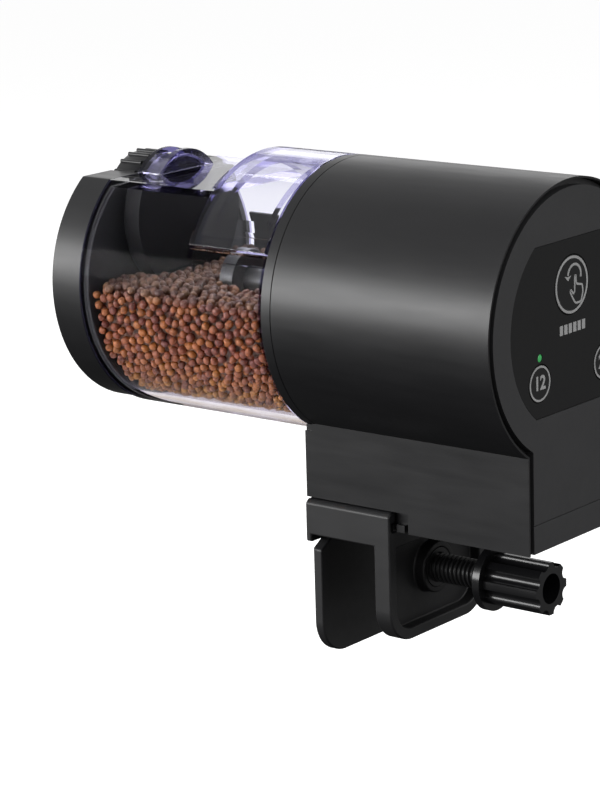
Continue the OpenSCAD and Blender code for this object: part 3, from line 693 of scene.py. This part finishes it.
cell_sleeve, tree, shader = new_finish("cell_sleeve")
where = tree.nodes.new("ShaderNodeTexCoord")
parts = tree.nodes.new("ShaderNodeSeparateXYZ")
tree.links.new(where.outputs["Object"], parts.inputs[0])
cell_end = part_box("battery_cells")[1].x
band = tree.nodes.new("ShaderNodeValToRGB")
band.color_ramp.interpolation = "CONSTANT"
dark_part, gold_part = band.color_ramp.elements
dark_part.color = (0.03, 0.032, 0.036, 1)
gold_part.position, gold_part.color = 0.74, (0.42, 0.3, 0.12, 1)
band.color_ramp.elements.new(0.965).color = (0.6, 0.6, 0.58, 1)
cell_long = 50.5 * mm
tree.links.new(ranged(tree, parts.outputs[0], 0, 1, cell_end - cell_long, cell_end), band.inputs["Fac"])
tree.links.new(band.outputs["Color"], shader.inputs["Base Color"])
tree.links.new(ranged(tree, add_noise(tree, 500, 4), 0.22, 0.36), shader.inputs["Roughness"])
dressed("battery_cells", "battery_cells_sleeved", "housing", "cell_jacket", cell_sleeve, 0.5 * mm, 3)

nickel = plated("nickel_plate", (0.72, 0.7, 0.66), 0.22, (0.2, 1, 1))
dressed("contact_plates", "contact_plates_punched", "housing", "nickel_spring", nickel, 0.08 * mm, 1)

coil, given = node_tree("contact_spring", [
    ("Turns", "Float"), ("Wide", "Float"), ("Narrow", "Float"), ("Height", "Float"),
    ("Wire", "Float"), ("Finish", "Material")])
spiral = coil.nodes.new("GeometryNodeCurveSpiral")
spiral.inputs["Resolution"].default_value = 28
for label, socket in (("Turns", "Rotations"), ("Wide", "Start Radius"), ("Narrow", "End Radius"),
                      ("Height", "Height")):
    coil.links.new(given.outputs[label], spiral.inputs[socket])
wire = coil.nodes.new("GeometryNodeCurvePrimitiveCircle")
wire.inputs["Resolution"].default_value = 10
coil.links.new(given.outputs["Wire"], wire.inputs["Radius"])
drawn = coil.nodes.new("GeometryNodeCurveToMesh")
drawn.inputs["Fill Caps"].default_value = True
coil.links.new(spiral.outputs["Curve"], drawn.inputs["Curve"])
coil.links.new(wire.outputs["Curve"], drawn.inputs["Profile Curve"])
stand = coil.nodes.new("GeometryNodeTransform")
stand.inputs["Rotation"].default_value = (0, math.pi / 2, 0)
coil.links.new(drawn.outputs["Mesh"], stand.inputs["Geometry"])
seats = coil.nodes.new("NodeGroupInput")
on_seats = coil.nodes.new("GeometryNodeInstanceOnPoints")
coil.interface.new_socket("Seats", in_out="INPUT", socket_type="NodeSocketGeometry")
coil.interface.move(coil.interface.items_tree["Seats"], 0)
coil.links.new(seats.outputs["Seats"], on_seats.inputs["Points"])
coil.links.new(stand.outputs["Geometry"], on_seats.inputs["Instance"])
end_tree(coil, on_seats.outputs["Instances"])
spring_box, cell_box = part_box("contact_springs"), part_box("battery_cells")
cell_r = (cell_box[1].z - cell_box[0].z) / 2
spring_z = (cell_box[0].z + cell_box[1].z) / 2
spring_y = cell_box[1].y - cell_r
end_room = 0.45 * mm
springs = grow(coil, "contact_springs_wound", {
    "Turns": 3.5, "Wide": 4.2 * mm, "Narrow": 2.8 * mm, "Wire": 0.4 * mm,
    "Height": spring_box[1].x - spring_box[0].x - 2 * end_room, "Finish": nickel},
    [(spring_box[0].x + end_room, side * spring_y, spring_z) for side in (-1, 1)], sharp=80)
stands_for(springs, "housing", "nickel_spring", "contact_springs")

dressed("battery_door", "battery_door_moulding", "door", "panel_black", panel_abs, 0.18 * mm)


# ---------------------------------------------------------------- gear motor and gears
# A small can motor on a pressed steel plate turns the barrel through a brass pinion and
# two natural acetal gears. Felt seals the shaft where it leaves the rear cover.
acetal = moulded("acetal", (0.76, 0.73, 0.66), 0.42, grain=0.5, texture=0.004 * mm, spread=0.05)
can_steel = plated("can_steel", (0.55, 0.56, 0.58), 0.32, (0.15, 1, 1))
brass = plated("turned_brass", (0.72, 0.52, 0.22), 0.24, (1, 0.3, 0.3))
bronze = plated("sintered_bronze", (0.5, 0.34, 0.18), 0.5)
felt = moulded("felt", (0.13, 0.125, 0.12), 0.95, grain=0.25, texture=0.12 * mm)
for node, body, slot, finish, edge in (
        ("gear_motor", "housing", "motor_steel", can_steel, 0.4),
        ("gear_plate", "housing", "motor_steel", can_steel, 0.2),
        ("plate_screws", "housing", "zinc_steel", zinc, 0.15),
        ("idler_pin", "housing", "zinc_steel", zinc, 0.2),
        ("shaft_bush", "housing", "bush_bronze", bronze, 0.2),
        ("barrel_seal", "housing", "felt_grey", felt, 0.12),
        ("idler_gear", "idler", "nylon_white", acetal, 0.08),
        ("motor_pinion", "pinion", "brass", brass, 0.06),
        ("motor_shaft", "pinion", "zinc_steel", zinc, 0.15),
        ("drive_shaft", "drive", "zinc_steel", zinc, 0.25),
        ("drive_gear", "drive", "nylon_white", acetal, 0.08),
        ("drive_dog", "drive", "nylon_white", acetal, 0.3)):
    dressed(node, node + "_fitted", body, slot, finish, edge * mm, 1)


# ---------------------------------------------------------------- barrel's inner parts
# Dark grey polypropylene: the socket that slips over the drive's square end, the liner
# behind the food, and the shallow cup that meters one portion.
liner_pp = moulded("liner_pp", (0.018, 0.0185, 0.0195), 0.3, grain=0.8, texture=0.006 * mm,
                   flow=(0.25, 1, 1))
cup_pp = moulded("cup_pp", (0.004, 0.004, 0.0045), 0.62, grain=0.4, texture=0.01 * mm)
cup_pp.node_tree.nodes["Principled BSDF"].inputs["Specular IOR Level"].default_value = 0.12
for node, slot, edge, finish in (("rear_liner", "liner_grey", 0.3, liner_pp),
                                 ("drive_socket", "hub_grey", 0.35, liner_pp),
                                 ("dose_chamber", "liner_grey", 0.3, cup_pp)):
    dressed(node, node + "_moulding", "barrel", slot, finish, edge * mm)


# ---------------------------------------------------------------- dry food
# Pressed fish pellets, a little over 2 mm across, fill the lower half of the barrel. Loose
# grains lie against the wall and on top; a lumpy core, painted darker as their shade, stands for those
# that no one sees.
shell_box, cap_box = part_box("barrel_shell"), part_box("barrel_cap")
pellet_r, second_layer = 1.2 * mm, 1.3 * mm
feed_ends = (cap_box[1].x + 0.1 * mm, shell_box[1].x - 2.2 * mm)
feed_r, liner_in = 31.5 * mm, 30.7 * mm


def feed_reach(y):
    """How far from the axis a grain's centre may lie, less where the liner stands."""
    liner_edge = 21 * mm
    return (liner_in if y > liner_edge else feed_r) - pellet_r


def feed_level(x, y):
    """Height of the heap above the barrel's axis."""
    along, across = x / mm, y / mm
    rise = 1.2 * math.sin(along * 0.11 + 0.6) + 0.9 * math.sin(across * 0.17 + along * 0.05 + 1.1)
    return (0.9 + 0.55 * rise) * mm


def scatter(spots, apart):
    """Keeps the spots that lie at least apart from those kept before, in order."""
    kept, cells = [], {}
    for spot in spots:
        cell = tuple(int(math.floor(c / apart)) for c in spot)
        near = (cells.get((cell[0] + i, cell[1] + j, cell[2] + k), ())
                for i in (-1, 0, 1) for j in (-1, 0, 1) for k in (-1, 0, 1))
        if all((spot[0] - q[0]) ** 2 + (spot[1] - q[1]) ** 2 + (spot[2] - q[2]) ** 2 >= apart * apart
               for group in near for q in group):
            cells.setdefault(cell, []).append(spot)
            kept.append(spot)
    return kept


chance = np.random.default_rng(1207)
tries, end_tries = 120000, 14000
x_try = chance.uniform(feed_ends[0] + pellet_r, feed_ends[1] - pellet_r, tries)
candidates = []
for layer, share in ((0.0, 0.45), (second_layer, 0.3)):
    for k in range(int(tries * share)):
        x, a = x_try[k], chance.uniform(math.pi, 2 * math.pi)
        radius = feed_reach(feed_r * math.cos(a)) - layer - chance.uniform(0, 0.25 * mm)
        y, z = radius * math.cos(a), radius * math.sin(a)
        if z < feed_level(x, y) - pellet_r * 0.4:
            candidates.append((x, y, z))
for layer, share in ((0.0, 0.3), (second_layer, 0.2)):
    for k in range(int(tries * share)):
        x, y = x_try[-1 - k], chance.uniform(-feed_r, feed_r)
        z = feed_level(x, y) - layer - chance.uniform(0, 0.7 * mm)
        if y * y + z * z < feed_reach(y) ** 2:
            candidates.append((x, y, z))
for x_end, way in ((feed_ends[0] + pellet_r, 1), (feed_ends[1] - pellet_r, -1)):
    for _ in range(end_tries):
        y, z = chance.uniform(-feed_r, feed_r), chance.uniform(-feed_r, 0)
        x = x_end + way * chance.uniform(0, 1.4 * mm)
        if y * y + z * z < feed_reach(y) ** 2 and z < feed_level(x, y):
            candidates.append((x, y, z))
hub_box, cup_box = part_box("drive_socket"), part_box("dose_chamber")
hub_r = 9.2 * mm + pellet_r
cup_r, cup_z = (cup_box[1].y - cup_box[0].y) / 2, 15.5 * mm


def clear_of_parts(spot):
    x, y, z = spot
    if x > hub_box[0].x - pellet_r and y * y + z * z < hub_r * hub_r:
        return False
    return not (x < cup_box[1].x + pellet_r and y * y + (z - cup_z) ** 2 < (cup_r + pellet_r) ** 2)


packing = 1.66 * pellet_r
grains = scatter([spot for spot in candidates if clear_of_parts(spot)], packing)
grains = [(x, y, z + axis_z) for x, y, z in grains]

pellet_crumb, tree, shader = new_finish("pellet_crumb")
tone = tree.nodes.new("ShaderNodeAttribute")
tone.attribute_name = "tone"
where = tree.nodes.new("ShaderNodeTexCoord")
parts = tree.nodes.new("ShaderNodeSeparateXYZ")
tree.links.new(where.outputs["Object"], parts.inputs[0])
# Painted light: grains low in the barrel are coloured a brighter gold, as if lit from below through the
# clear wall, and darker towards the top.
depth = ranged(tree, parts.outputs[2], 0, 1, axis_z - 30 * mm, axis_z + 1.5 * mm)
painted_light_by_height = tree.nodes.new("ShaderNodeValToRGB")
ramp = painted_light_by_height.color_ramp
ramp.elements[0].color = (0.175, 0.078, 0.018, 1)
ramp.elements[1].color = (0.07, 0.034, 0.022, 1)
for position, colour in ((0.3, (0.15, 0.046, 0.012, 1)), (0.6, (0.14, 0.035, 0.011, 1)),
                         (0.93, (0.115, 0.034, 0.014, 1))):
    ramp.elements.new(position).color = colour
tree.links.new(depth, painted_light_by_height.inputs["Fac"])
vary = tree.nodes.new("ShaderNodeHueSaturation")
vary.inputs["Saturation"].default_value = 1.12
tree.links.new(painted_light_by_height.outputs["Color"], vary.inputs["Color"])
tree.links.new(ranged(tree, tone.outputs["Fac"], 0.55, 1.5, 0, 1), vary.inputs["Value"])
tree.links.new(ranged(tree, tone.outputs["Fac"], 0.485, 0.515, 0, 1), vary.inputs["Hue"])
speckle = tree.nodes.new("ShaderNodeMix")
speckle.data_type, speckle.blend_type = "RGBA", "MULTIPLY"
speckle.inputs["Factor"].default_value = 1.0
tree.links.new(vary.outputs["Color"], speckle.inputs["A"])
crumbs = add_noise(tree, 2600, 4)
tree.links.new(tinted(tree, crumbs, (0.6, 0.58, 0.55), (1.15, 1.12, 1.1), 0.35, 0.62),
               speckle.inputs["B"])
tree.links.new(speckle.outputs["Result"], shader.inputs["Base Color"])
tree.links.new(ranged(tree, add_noise(tree, 1800, 3), 0.5, 0.72), shader.inputs["Roughness"])
roughen(tree, shader, add_noise(tree, 1900, 4), 0.09 * mm, 0.8)

heap, given = node_tree("pellet_heap", [
    ("Spots", "Geometry"), ("Pellet radius", "Float"), ("Least size", "Float"),
    ("Greatest size", "Float"), ("Dent scale", "Float"), ("Dent", "Float"),
    ("Seed", "Int"), ("Finish", "Material")])
ball = heap.nodes.new("GeometryNodeMeshIcoSphere")
ball.inputs["Subdivisions"].default_value = 2
heap.links.new(given.outputs["Pellet radius"], ball.inputs["Radius"])


def chance_node(kind, low, high, shift):
    node = heap.nodes.new("FunctionNodeRandomValue")
    node.data_type = kind
    sockets = [s for s in node.inputs if s.enabled]
    for socket, value in zip(sockets, (low, high)):
        if isinstance(value, (int, float, tuple)):
            socket.default_value = value
        else:
            heap.links.new(value, socket)
    heap.links.new(calc(heap, "ADD", given.outputs["Seed"], shift), node.inputs["Seed"])
    return next(s for s in node.outputs if s.enabled)


lay = heap.nodes.new("GeometryNodeInstanceOnPoints")
heap.links.new(given.outputs["Spots"], lay.inputs["Points"])
heap.links.new(ball.outputs["Mesh"], lay.inputs["Instance"])
whole_turn = 6.283
heap.links.new(chance_node("FLOAT_VECTOR", (0.0,) * 3, (whole_turn,) * 3, 1), lay.inputs["Rotation"])
squash = heap.nodes.new("ShaderNodeCombineXYZ")
for axis in range(3):
    side = chance_node("FLOAT", given.outputs["Least size"], given.outputs["Greatest size"], 2 + axis)
    heap.links.new(side, squash.inputs[axis])
heap.links.new(squash.outputs[0], lay.inputs["Scale"])
mark = heap.nodes.new("GeometryNodeStoreNamedAttribute")
mark.data_type, mark.domain = "FLOAT", "INSTANCE"
mark.inputs["Name"].default_value = "tone"
heap.links.new(lay.outputs["Instances"], mark.inputs["Geometry"])
heap.links.new(chance_node("FLOAT", 0.0, 1.0, 9), mark.inputs["Value"])
whole = heap.nodes.new("GeometryNodeRealizeInstances")
heap.links.new(mark.outputs["Geometry"], whole.inputs["Geometry"])
bumps = heap.nodes.new("ShaderNodeTexNoise")
heap.links.new(given.outputs["Dent scale"], bumps.inputs["Scale"])
outward = heap.nodes.new("ShaderNodeVectorMath")
outward.operation = "SCALE"
heap.links.new(heap.nodes.new("GeometryNodeInputNormal").outputs[0], outward.inputs["Vector"])
still_level = 0.62
bulge = calc(heap, "SUBTRACT", bumps.outputs["Fac"], still_level)
heap.links.new(calc(heap, "MULTIPLY", bulge, given.outputs["Dent"]), outward.inputs["Scale"])
dented = heap.nodes.new("GeometryNodeSetPosition")
heap.links.new(whole.outputs["Geometry"], dented.inputs["Geometry"])
heap.links.new(outward.outputs[0], dented.inputs["Offset"])
end_tree(heap, dented.outputs["Geometry"])
share = math.ceil(len(grains) / 2)
for index in range(2):
    pile = grow(heap, "pellets_%d" % (index + 1), {
        "Pellet radius": pellet_r, "Least size": 0.88, "Greatest size": 1.05, "Dent scale": 620.0,
        "Dent": 0.9 * mm, "Seed": 31 + index, "Finish": pellet_crumb},
        grains[index * share:(index + 1) * share], sharp=180)
    stands_for(pile, "barrel", "feed")

# the core under the loose grains, clear of the hub
core_r, rows, across = liner_in - 2.0 * mm, 60, 48
core_in, core_down, core_under = 1.6 * mm, 1.4 * mm, 2.9 * mm
core_points, core_faces = [], []
for row in range(rows + 1):
    x = feed_ends[0] + core_in + (feed_ends[1] - feed_ends[0] - 2 * core_in) * row / rows
    by_hub = x > hub_box[0].x - 2 * mm
    sag = hub_r + 0.4 * mm if by_hub else 0.0
    for col in range(across):
        a = math.pi + math.pi * col / (across - 1)
        z = core_r * math.sin(a) * 0.999 - core_down
        core_points.append((x, core_r * math.cos(a), axis_z + z))
    for col in range(across):
        y = core_r * math.cos(2 * math.pi - math.pi * col / (across - 1)) * 0.98
        top = feed_level(x, y) - core_under
        if abs(y) < sag:
            top = min(top, -math.sqrt(sag * sag - y * y))
        core_points.append((x, y, axis_z + top))
loop = 2 * across
for row in range(rows):
    for col in range(loop):
        after, this_ring, next_ring = (col + 1) % loop, row * loop, (row + 1) * loop
        core_faces.append((this_ring + col, this_ring + after, next_ring + after, next_ring + col))
core_faces.append(tuple(range(loop))[::-1])
core_faces.append(tuple(rows * loop + col for col in range(loop)))
core_mesh = bpy.data.meshes.new("pellet_core")
core_mesh.from_pydata(core_points, [], core_faces)
work = bmesh.new()
work.from_mesh(core_mesh)
bmesh.ops.recalc_face_normals(work, faces=work.faces)
work.to_mesh(core_mesh)
work.free()
core = place("pellet_core", core_mesh)
core_crumb, tree, shader = new_finish("core_crumb")
lumps_and_gap_shade = add_noise(tree, 480, 0, (1, 1, 1), "ShaderNodeTexVoronoi")
# Painted shade: the core is coloured darker than the loose grains, and darker still at each lump's
# edge, for the shade in the gaps between grains.
tree.links.new(tinted(tree, lumps_and_gap_shade, (0.1, 0.038, 0.017), (0.03, 0.012, 0.006), 0.1, 0.8),
               shader.inputs["Base Color"])
tree.links.new(ranged(tree, add_noise(tree, 1500, 3), 0.6, 0.8), shader.inputs["Roughness"])
roughen(tree, shader, lumps_and_gap_shade, -0.5 * mm, 0.7)
core_mesh.materials.append(core_crumb)
stands_for(core, "barrel", "feed")


# ---------------------------------------------------------------- cap, dial and gate
# The cap snaps on the barrel's outer end, in the housing's satin black. The ribbed dial
# turns in its top and swings a smoky arched gate across the outlet.
dressed("barrel_cap", "cap_moulding", "barrel", "cap_black",
        moulded("cap_abs", (0.012, 0.012, 0.013), 0.38, grain=0.28, texture=0.006 * mm),
        0.4 * mm, 3)

dial_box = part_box("dose_dial")
dial_at = ((dial_box[0].y + dial_box[1].y) / 2, (dial_box[0].z + dial_box[1].z) / 2)
dial_r = (dial_box[1].z - dial_box[0].z) / 2
dial_x0 = dial_box[0].x
dial_x1 = cap_box[0].x + 8.1 * mm
rib_high, rib_r, rib_short = 0.6 * mm, 0.55 * mm, 0.9 * mm
dial_black = moulded("dial_abs", (0.01, 0.01, 0.011), 0.3, grain=0.4, texture=0.004 * mm)
ribs, given = node_tree("dial_ribs", [
    ("Ribs", "Int"), ("Circle", "Float"), ("Rib radius", "Float"), ("Length", "Float"),
    ("Middle", "Vector"), ("Finish", "Material")])
circle = ribs.nodes.new("GeometryNodeMeshCircle")
ribs.links.new(given.outputs["Ribs"], circle.inputs["Vertices"])
ribs.links.new(given.outputs["Circle"], circle.inputs["Radius"])
bar = ribs.nodes.new("GeometryNodeMeshCylinder")
bar.inputs["Vertices"].default_value = 12
ribs.links.new(given.outputs["Rib radius"], bar.inputs["Radius"])
ribs.links.new(given.outputs["Length"], bar.inputs["Depth"])
ring_of = ribs.nodes.new("GeometryNodeInstanceOnPoints")
ribs.links.new(circle.outputs["Mesh"], ring_of.inputs["Points"])
ribs.links.new(bar.outputs["Mesh"], ring_of.inputs["Instance"])
lay = ribs.nodes.new("GeometryNodeTransform")
lay.inputs["Rotation"].default_value = (0, math.pi / 2, 0)
ribs.links.new(given.outputs["Middle"], lay.inputs["Translation"])
ribs.links.new(ring_of.outputs["Instances"], lay.inputs["Geometry"])
end_tree(ribs, lay.outputs["Geometry"])
dial = grow(ribs, "dose_dial_ribbed", {
    "Ribs": 22, "Circle": dial_r - rib_r, "Rib radius": rib_r,
    "Length": dial_x1 - dial_x0 - rib_short,
    "Middle": ((dial_x0 + dial_x1) / 2, *dial_at), "Finish": dial_black}, sharp=50)
wheel_r, ease, stem_r, chamfer = dial_r - rib_high, 0.6 * mm, 3 * mm, 0.3 * mm
by_edge, stem_x = ease * 0.3, dial_box[1].x
merge_into(dial, turned([
    (dial_x0, 0), (dial_x0, wheel_r - 2.4 * mm), (dial_x0 + 0.5 * mm, wheel_r - 2.6 * mm),
    (dial_x0, wheel_r - ease - 0.8 * mm), (dial_x0, wheel_r - ease),
    (dial_x0 + by_edge, wheel_r - by_edge), (dial_x0 + ease, wheel_r), (dial_x1 - ease, wheel_r),
    (dial_x1 - by_edge, wheel_r - by_edge), (dial_x1, wheel_r - ease), (dial_x1, stem_r),
    (stem_x - chamfer, stem_r), (stem_x, stem_r - chamfer), (stem_x, 0)], "wheel", dial_at))
stands_for(dial, "dial", "cap_black", "dose_dial")

dressed("dose_gate", "gate_moulding", "dial", "gate_violet",
        moulded("gate_smoke", (0.02, 0.018, 0.035), 0.18, grain=1.0, texture=0.003 * mm, coat=0.3),
        0.25 * mm)


# ---------------------------------------------------------------- clear barrel
# Polished clear styrene with a faint violet tint, and painted shade that darkens its edges: the barrel,
# the arch over the outlet, and the hood that slides round its track to close the fill hole.
def clear_moulding(name, face, rim, polish, index):
    """Clear plastic, painted darker and more violet at a grazing angle and on cut edges as shade for
    refraction, and browner in patches at the bottom.
    """
    finish, tree, shader = new_finish(name)
    grazing = tree.nodes.new("ShaderNodeLayerWeight")
    grazing.inputs["Blend"].default_value = 0.28
    cut_edge = tree.nodes.new("ShaderNodeAttribute")
    cut_edge.attribute_name = "cut_edge"
    # Painted shade: the plastic's faint violet tint turns to the rim's dark violet at a grazing angle
    # and on cut edges, standing for refraction and internal reflection in the thick walls.
    painted_edge_shade = tree.nodes.new("ShaderNodeMath")
    painted_edge_shade.operation = "MAXIMUM"
    tree.links.new(grazing.outputs["Facing"], painted_edge_shade.inputs[0])
    tree.links.new(cut_edge.outputs["Fac"], painted_edge_shade.inputs[1])
    tint_and_edge_shade = tinted(tree, painted_edge_shade.outputs[0], face, rim, 0.25, 0.95)
    where = tree.nodes.new("ShaderNodeTexCoord")
    parts = tree.nodes.new("ShaderNodeSeparateXYZ")
    tree.links.new(where.outputs["Object"], parts.inputs[0])
    # Browner in patches towards the bottom of the wall.
    bottom_brown_from, bottom_brown_to = axis_z - 33.0 * mm, axis_z - 28.5 * mm
    low_wall = ranged(tree, parts.outputs[2], 1.0, 0.0, bottom_brown_from, bottom_brown_to)
    patchy = ranged(tree, add_noise(tree, 160, 4, (0.5, 1, 1)), 0.55, 1.0)
    bottom_brown_share = tree.nodes.new("ShaderNodeMath")
    bottom_brown_share.operation = "MULTIPLY"
    tree.links.new(low_wall, bottom_brown_share.inputs[0])
    tree.links.new(patchy, bottom_brown_share.inputs[1])
    bottom_brown_mix = tree.nodes.new("ShaderNodeMix")
    bottom_brown_mix.data_type = "RGBA"
    tree.links.new(bottom_brown_share.outputs[0], bottom_brown_mix.inputs["Factor"])
    tree.links.new(tint_and_edge_shade, bottom_brown_mix.inputs["A"])
    bottom_brown_mix.inputs["B"].default_value = (0.3, 0.225, 0.14, 1)
    tree.links.new(bottom_brown_mix.outputs["Result"], shader.inputs["Base Color"])
    haze = add_noise(tree, 55, 3, (0.3, 1, 1))
    tree.links.new(ranged(tree, haze, 0.03, 0.06), shader.inputs["Roughness"])
    roughen(tree, shader, add_noise(tree, 70, 2, (0.3, 1, 1)), 0.05 * mm, 0.15)
    shader.inputs["Transmission Weight"].default_value = 1.0
    shader.inputs["IOR"].default_value = index
    flat_top = tree.nodes.new("ShaderNodeAttribute")
    flat_top.attribute_name = "flat_top"
    tree.links.new(ranged(tree, flat_top.outputs["Fac"], polish, 0.6, 0, 1),
                   shader.inputs["Coat Weight"])
    shader.inputs["Coat Roughness"].default_value = 0.03
    shader.inputs["Coat IOR"].default_value = 1.5
    lit = tree.nodes.new("ShaderNodeLightPath")
    through = tree.nodes.new("ShaderNodeBsdfTransparent")
    through.inputs["Color"].default_value = (*[0.5 + c / 2 for c in face], 1)
    mix = tree.nodes.new("ShaderNodeMixShader")
    result = tree.nodes["Material Output"]
    tree.links.new(lit.outputs["Is Shadow Ray"], mix.inputs["Fac"])
    tree.links.new(shader.outputs[0], mix.inputs[1])
    tree.links.new(through.outputs[0], mix.inputs[2])
    tree.links.new(mix.outputs[0], result.inputs["Surface"])
    return finish


barrel_clear = clear_moulding("barrel_clear", (0.95, 0.95, 0.98), (0.3, 0.28, 0.5), 0.02, 1.03)
hood_clear = clear_moulding("hood_clear", (0.88, 0.88, 0.95), (0.17, 0.155, 0.35), 0.5, 1.07)
least_flat = 10 * mm * mm
for node, body, edge, finish in (("barrel_shell", "barrel", 0.25, barrel_clear),
                                 ("outlet_cover", "barrel", 0.2, hood_clear),
                                 ("fill_hood", "hood", 0.25, hood_clear)):
    item = eased_copy(node, node + "_clear", edge * mm)
    cut_edge = item.data.attributes.new("cut_edge", "FLOAT", "FACE")
    flat_top = item.data.attributes.new("flat_top", "FLOAT", "FACE")
    for face in item.data.polygons:
        outward = Vector((0, face.center.y, face.center.z - axis_z)).normalized()
        cut_edge.data[face.index].value = float(abs(face.normal.dot(outward)) < 0.6)
        flat_top.data[face.index].value = float(face.normal.z > 0.99 and face.area > least_flat)
    item.data.materials.append(finish)
    stands_for(item, body, "clear_lilac", node)
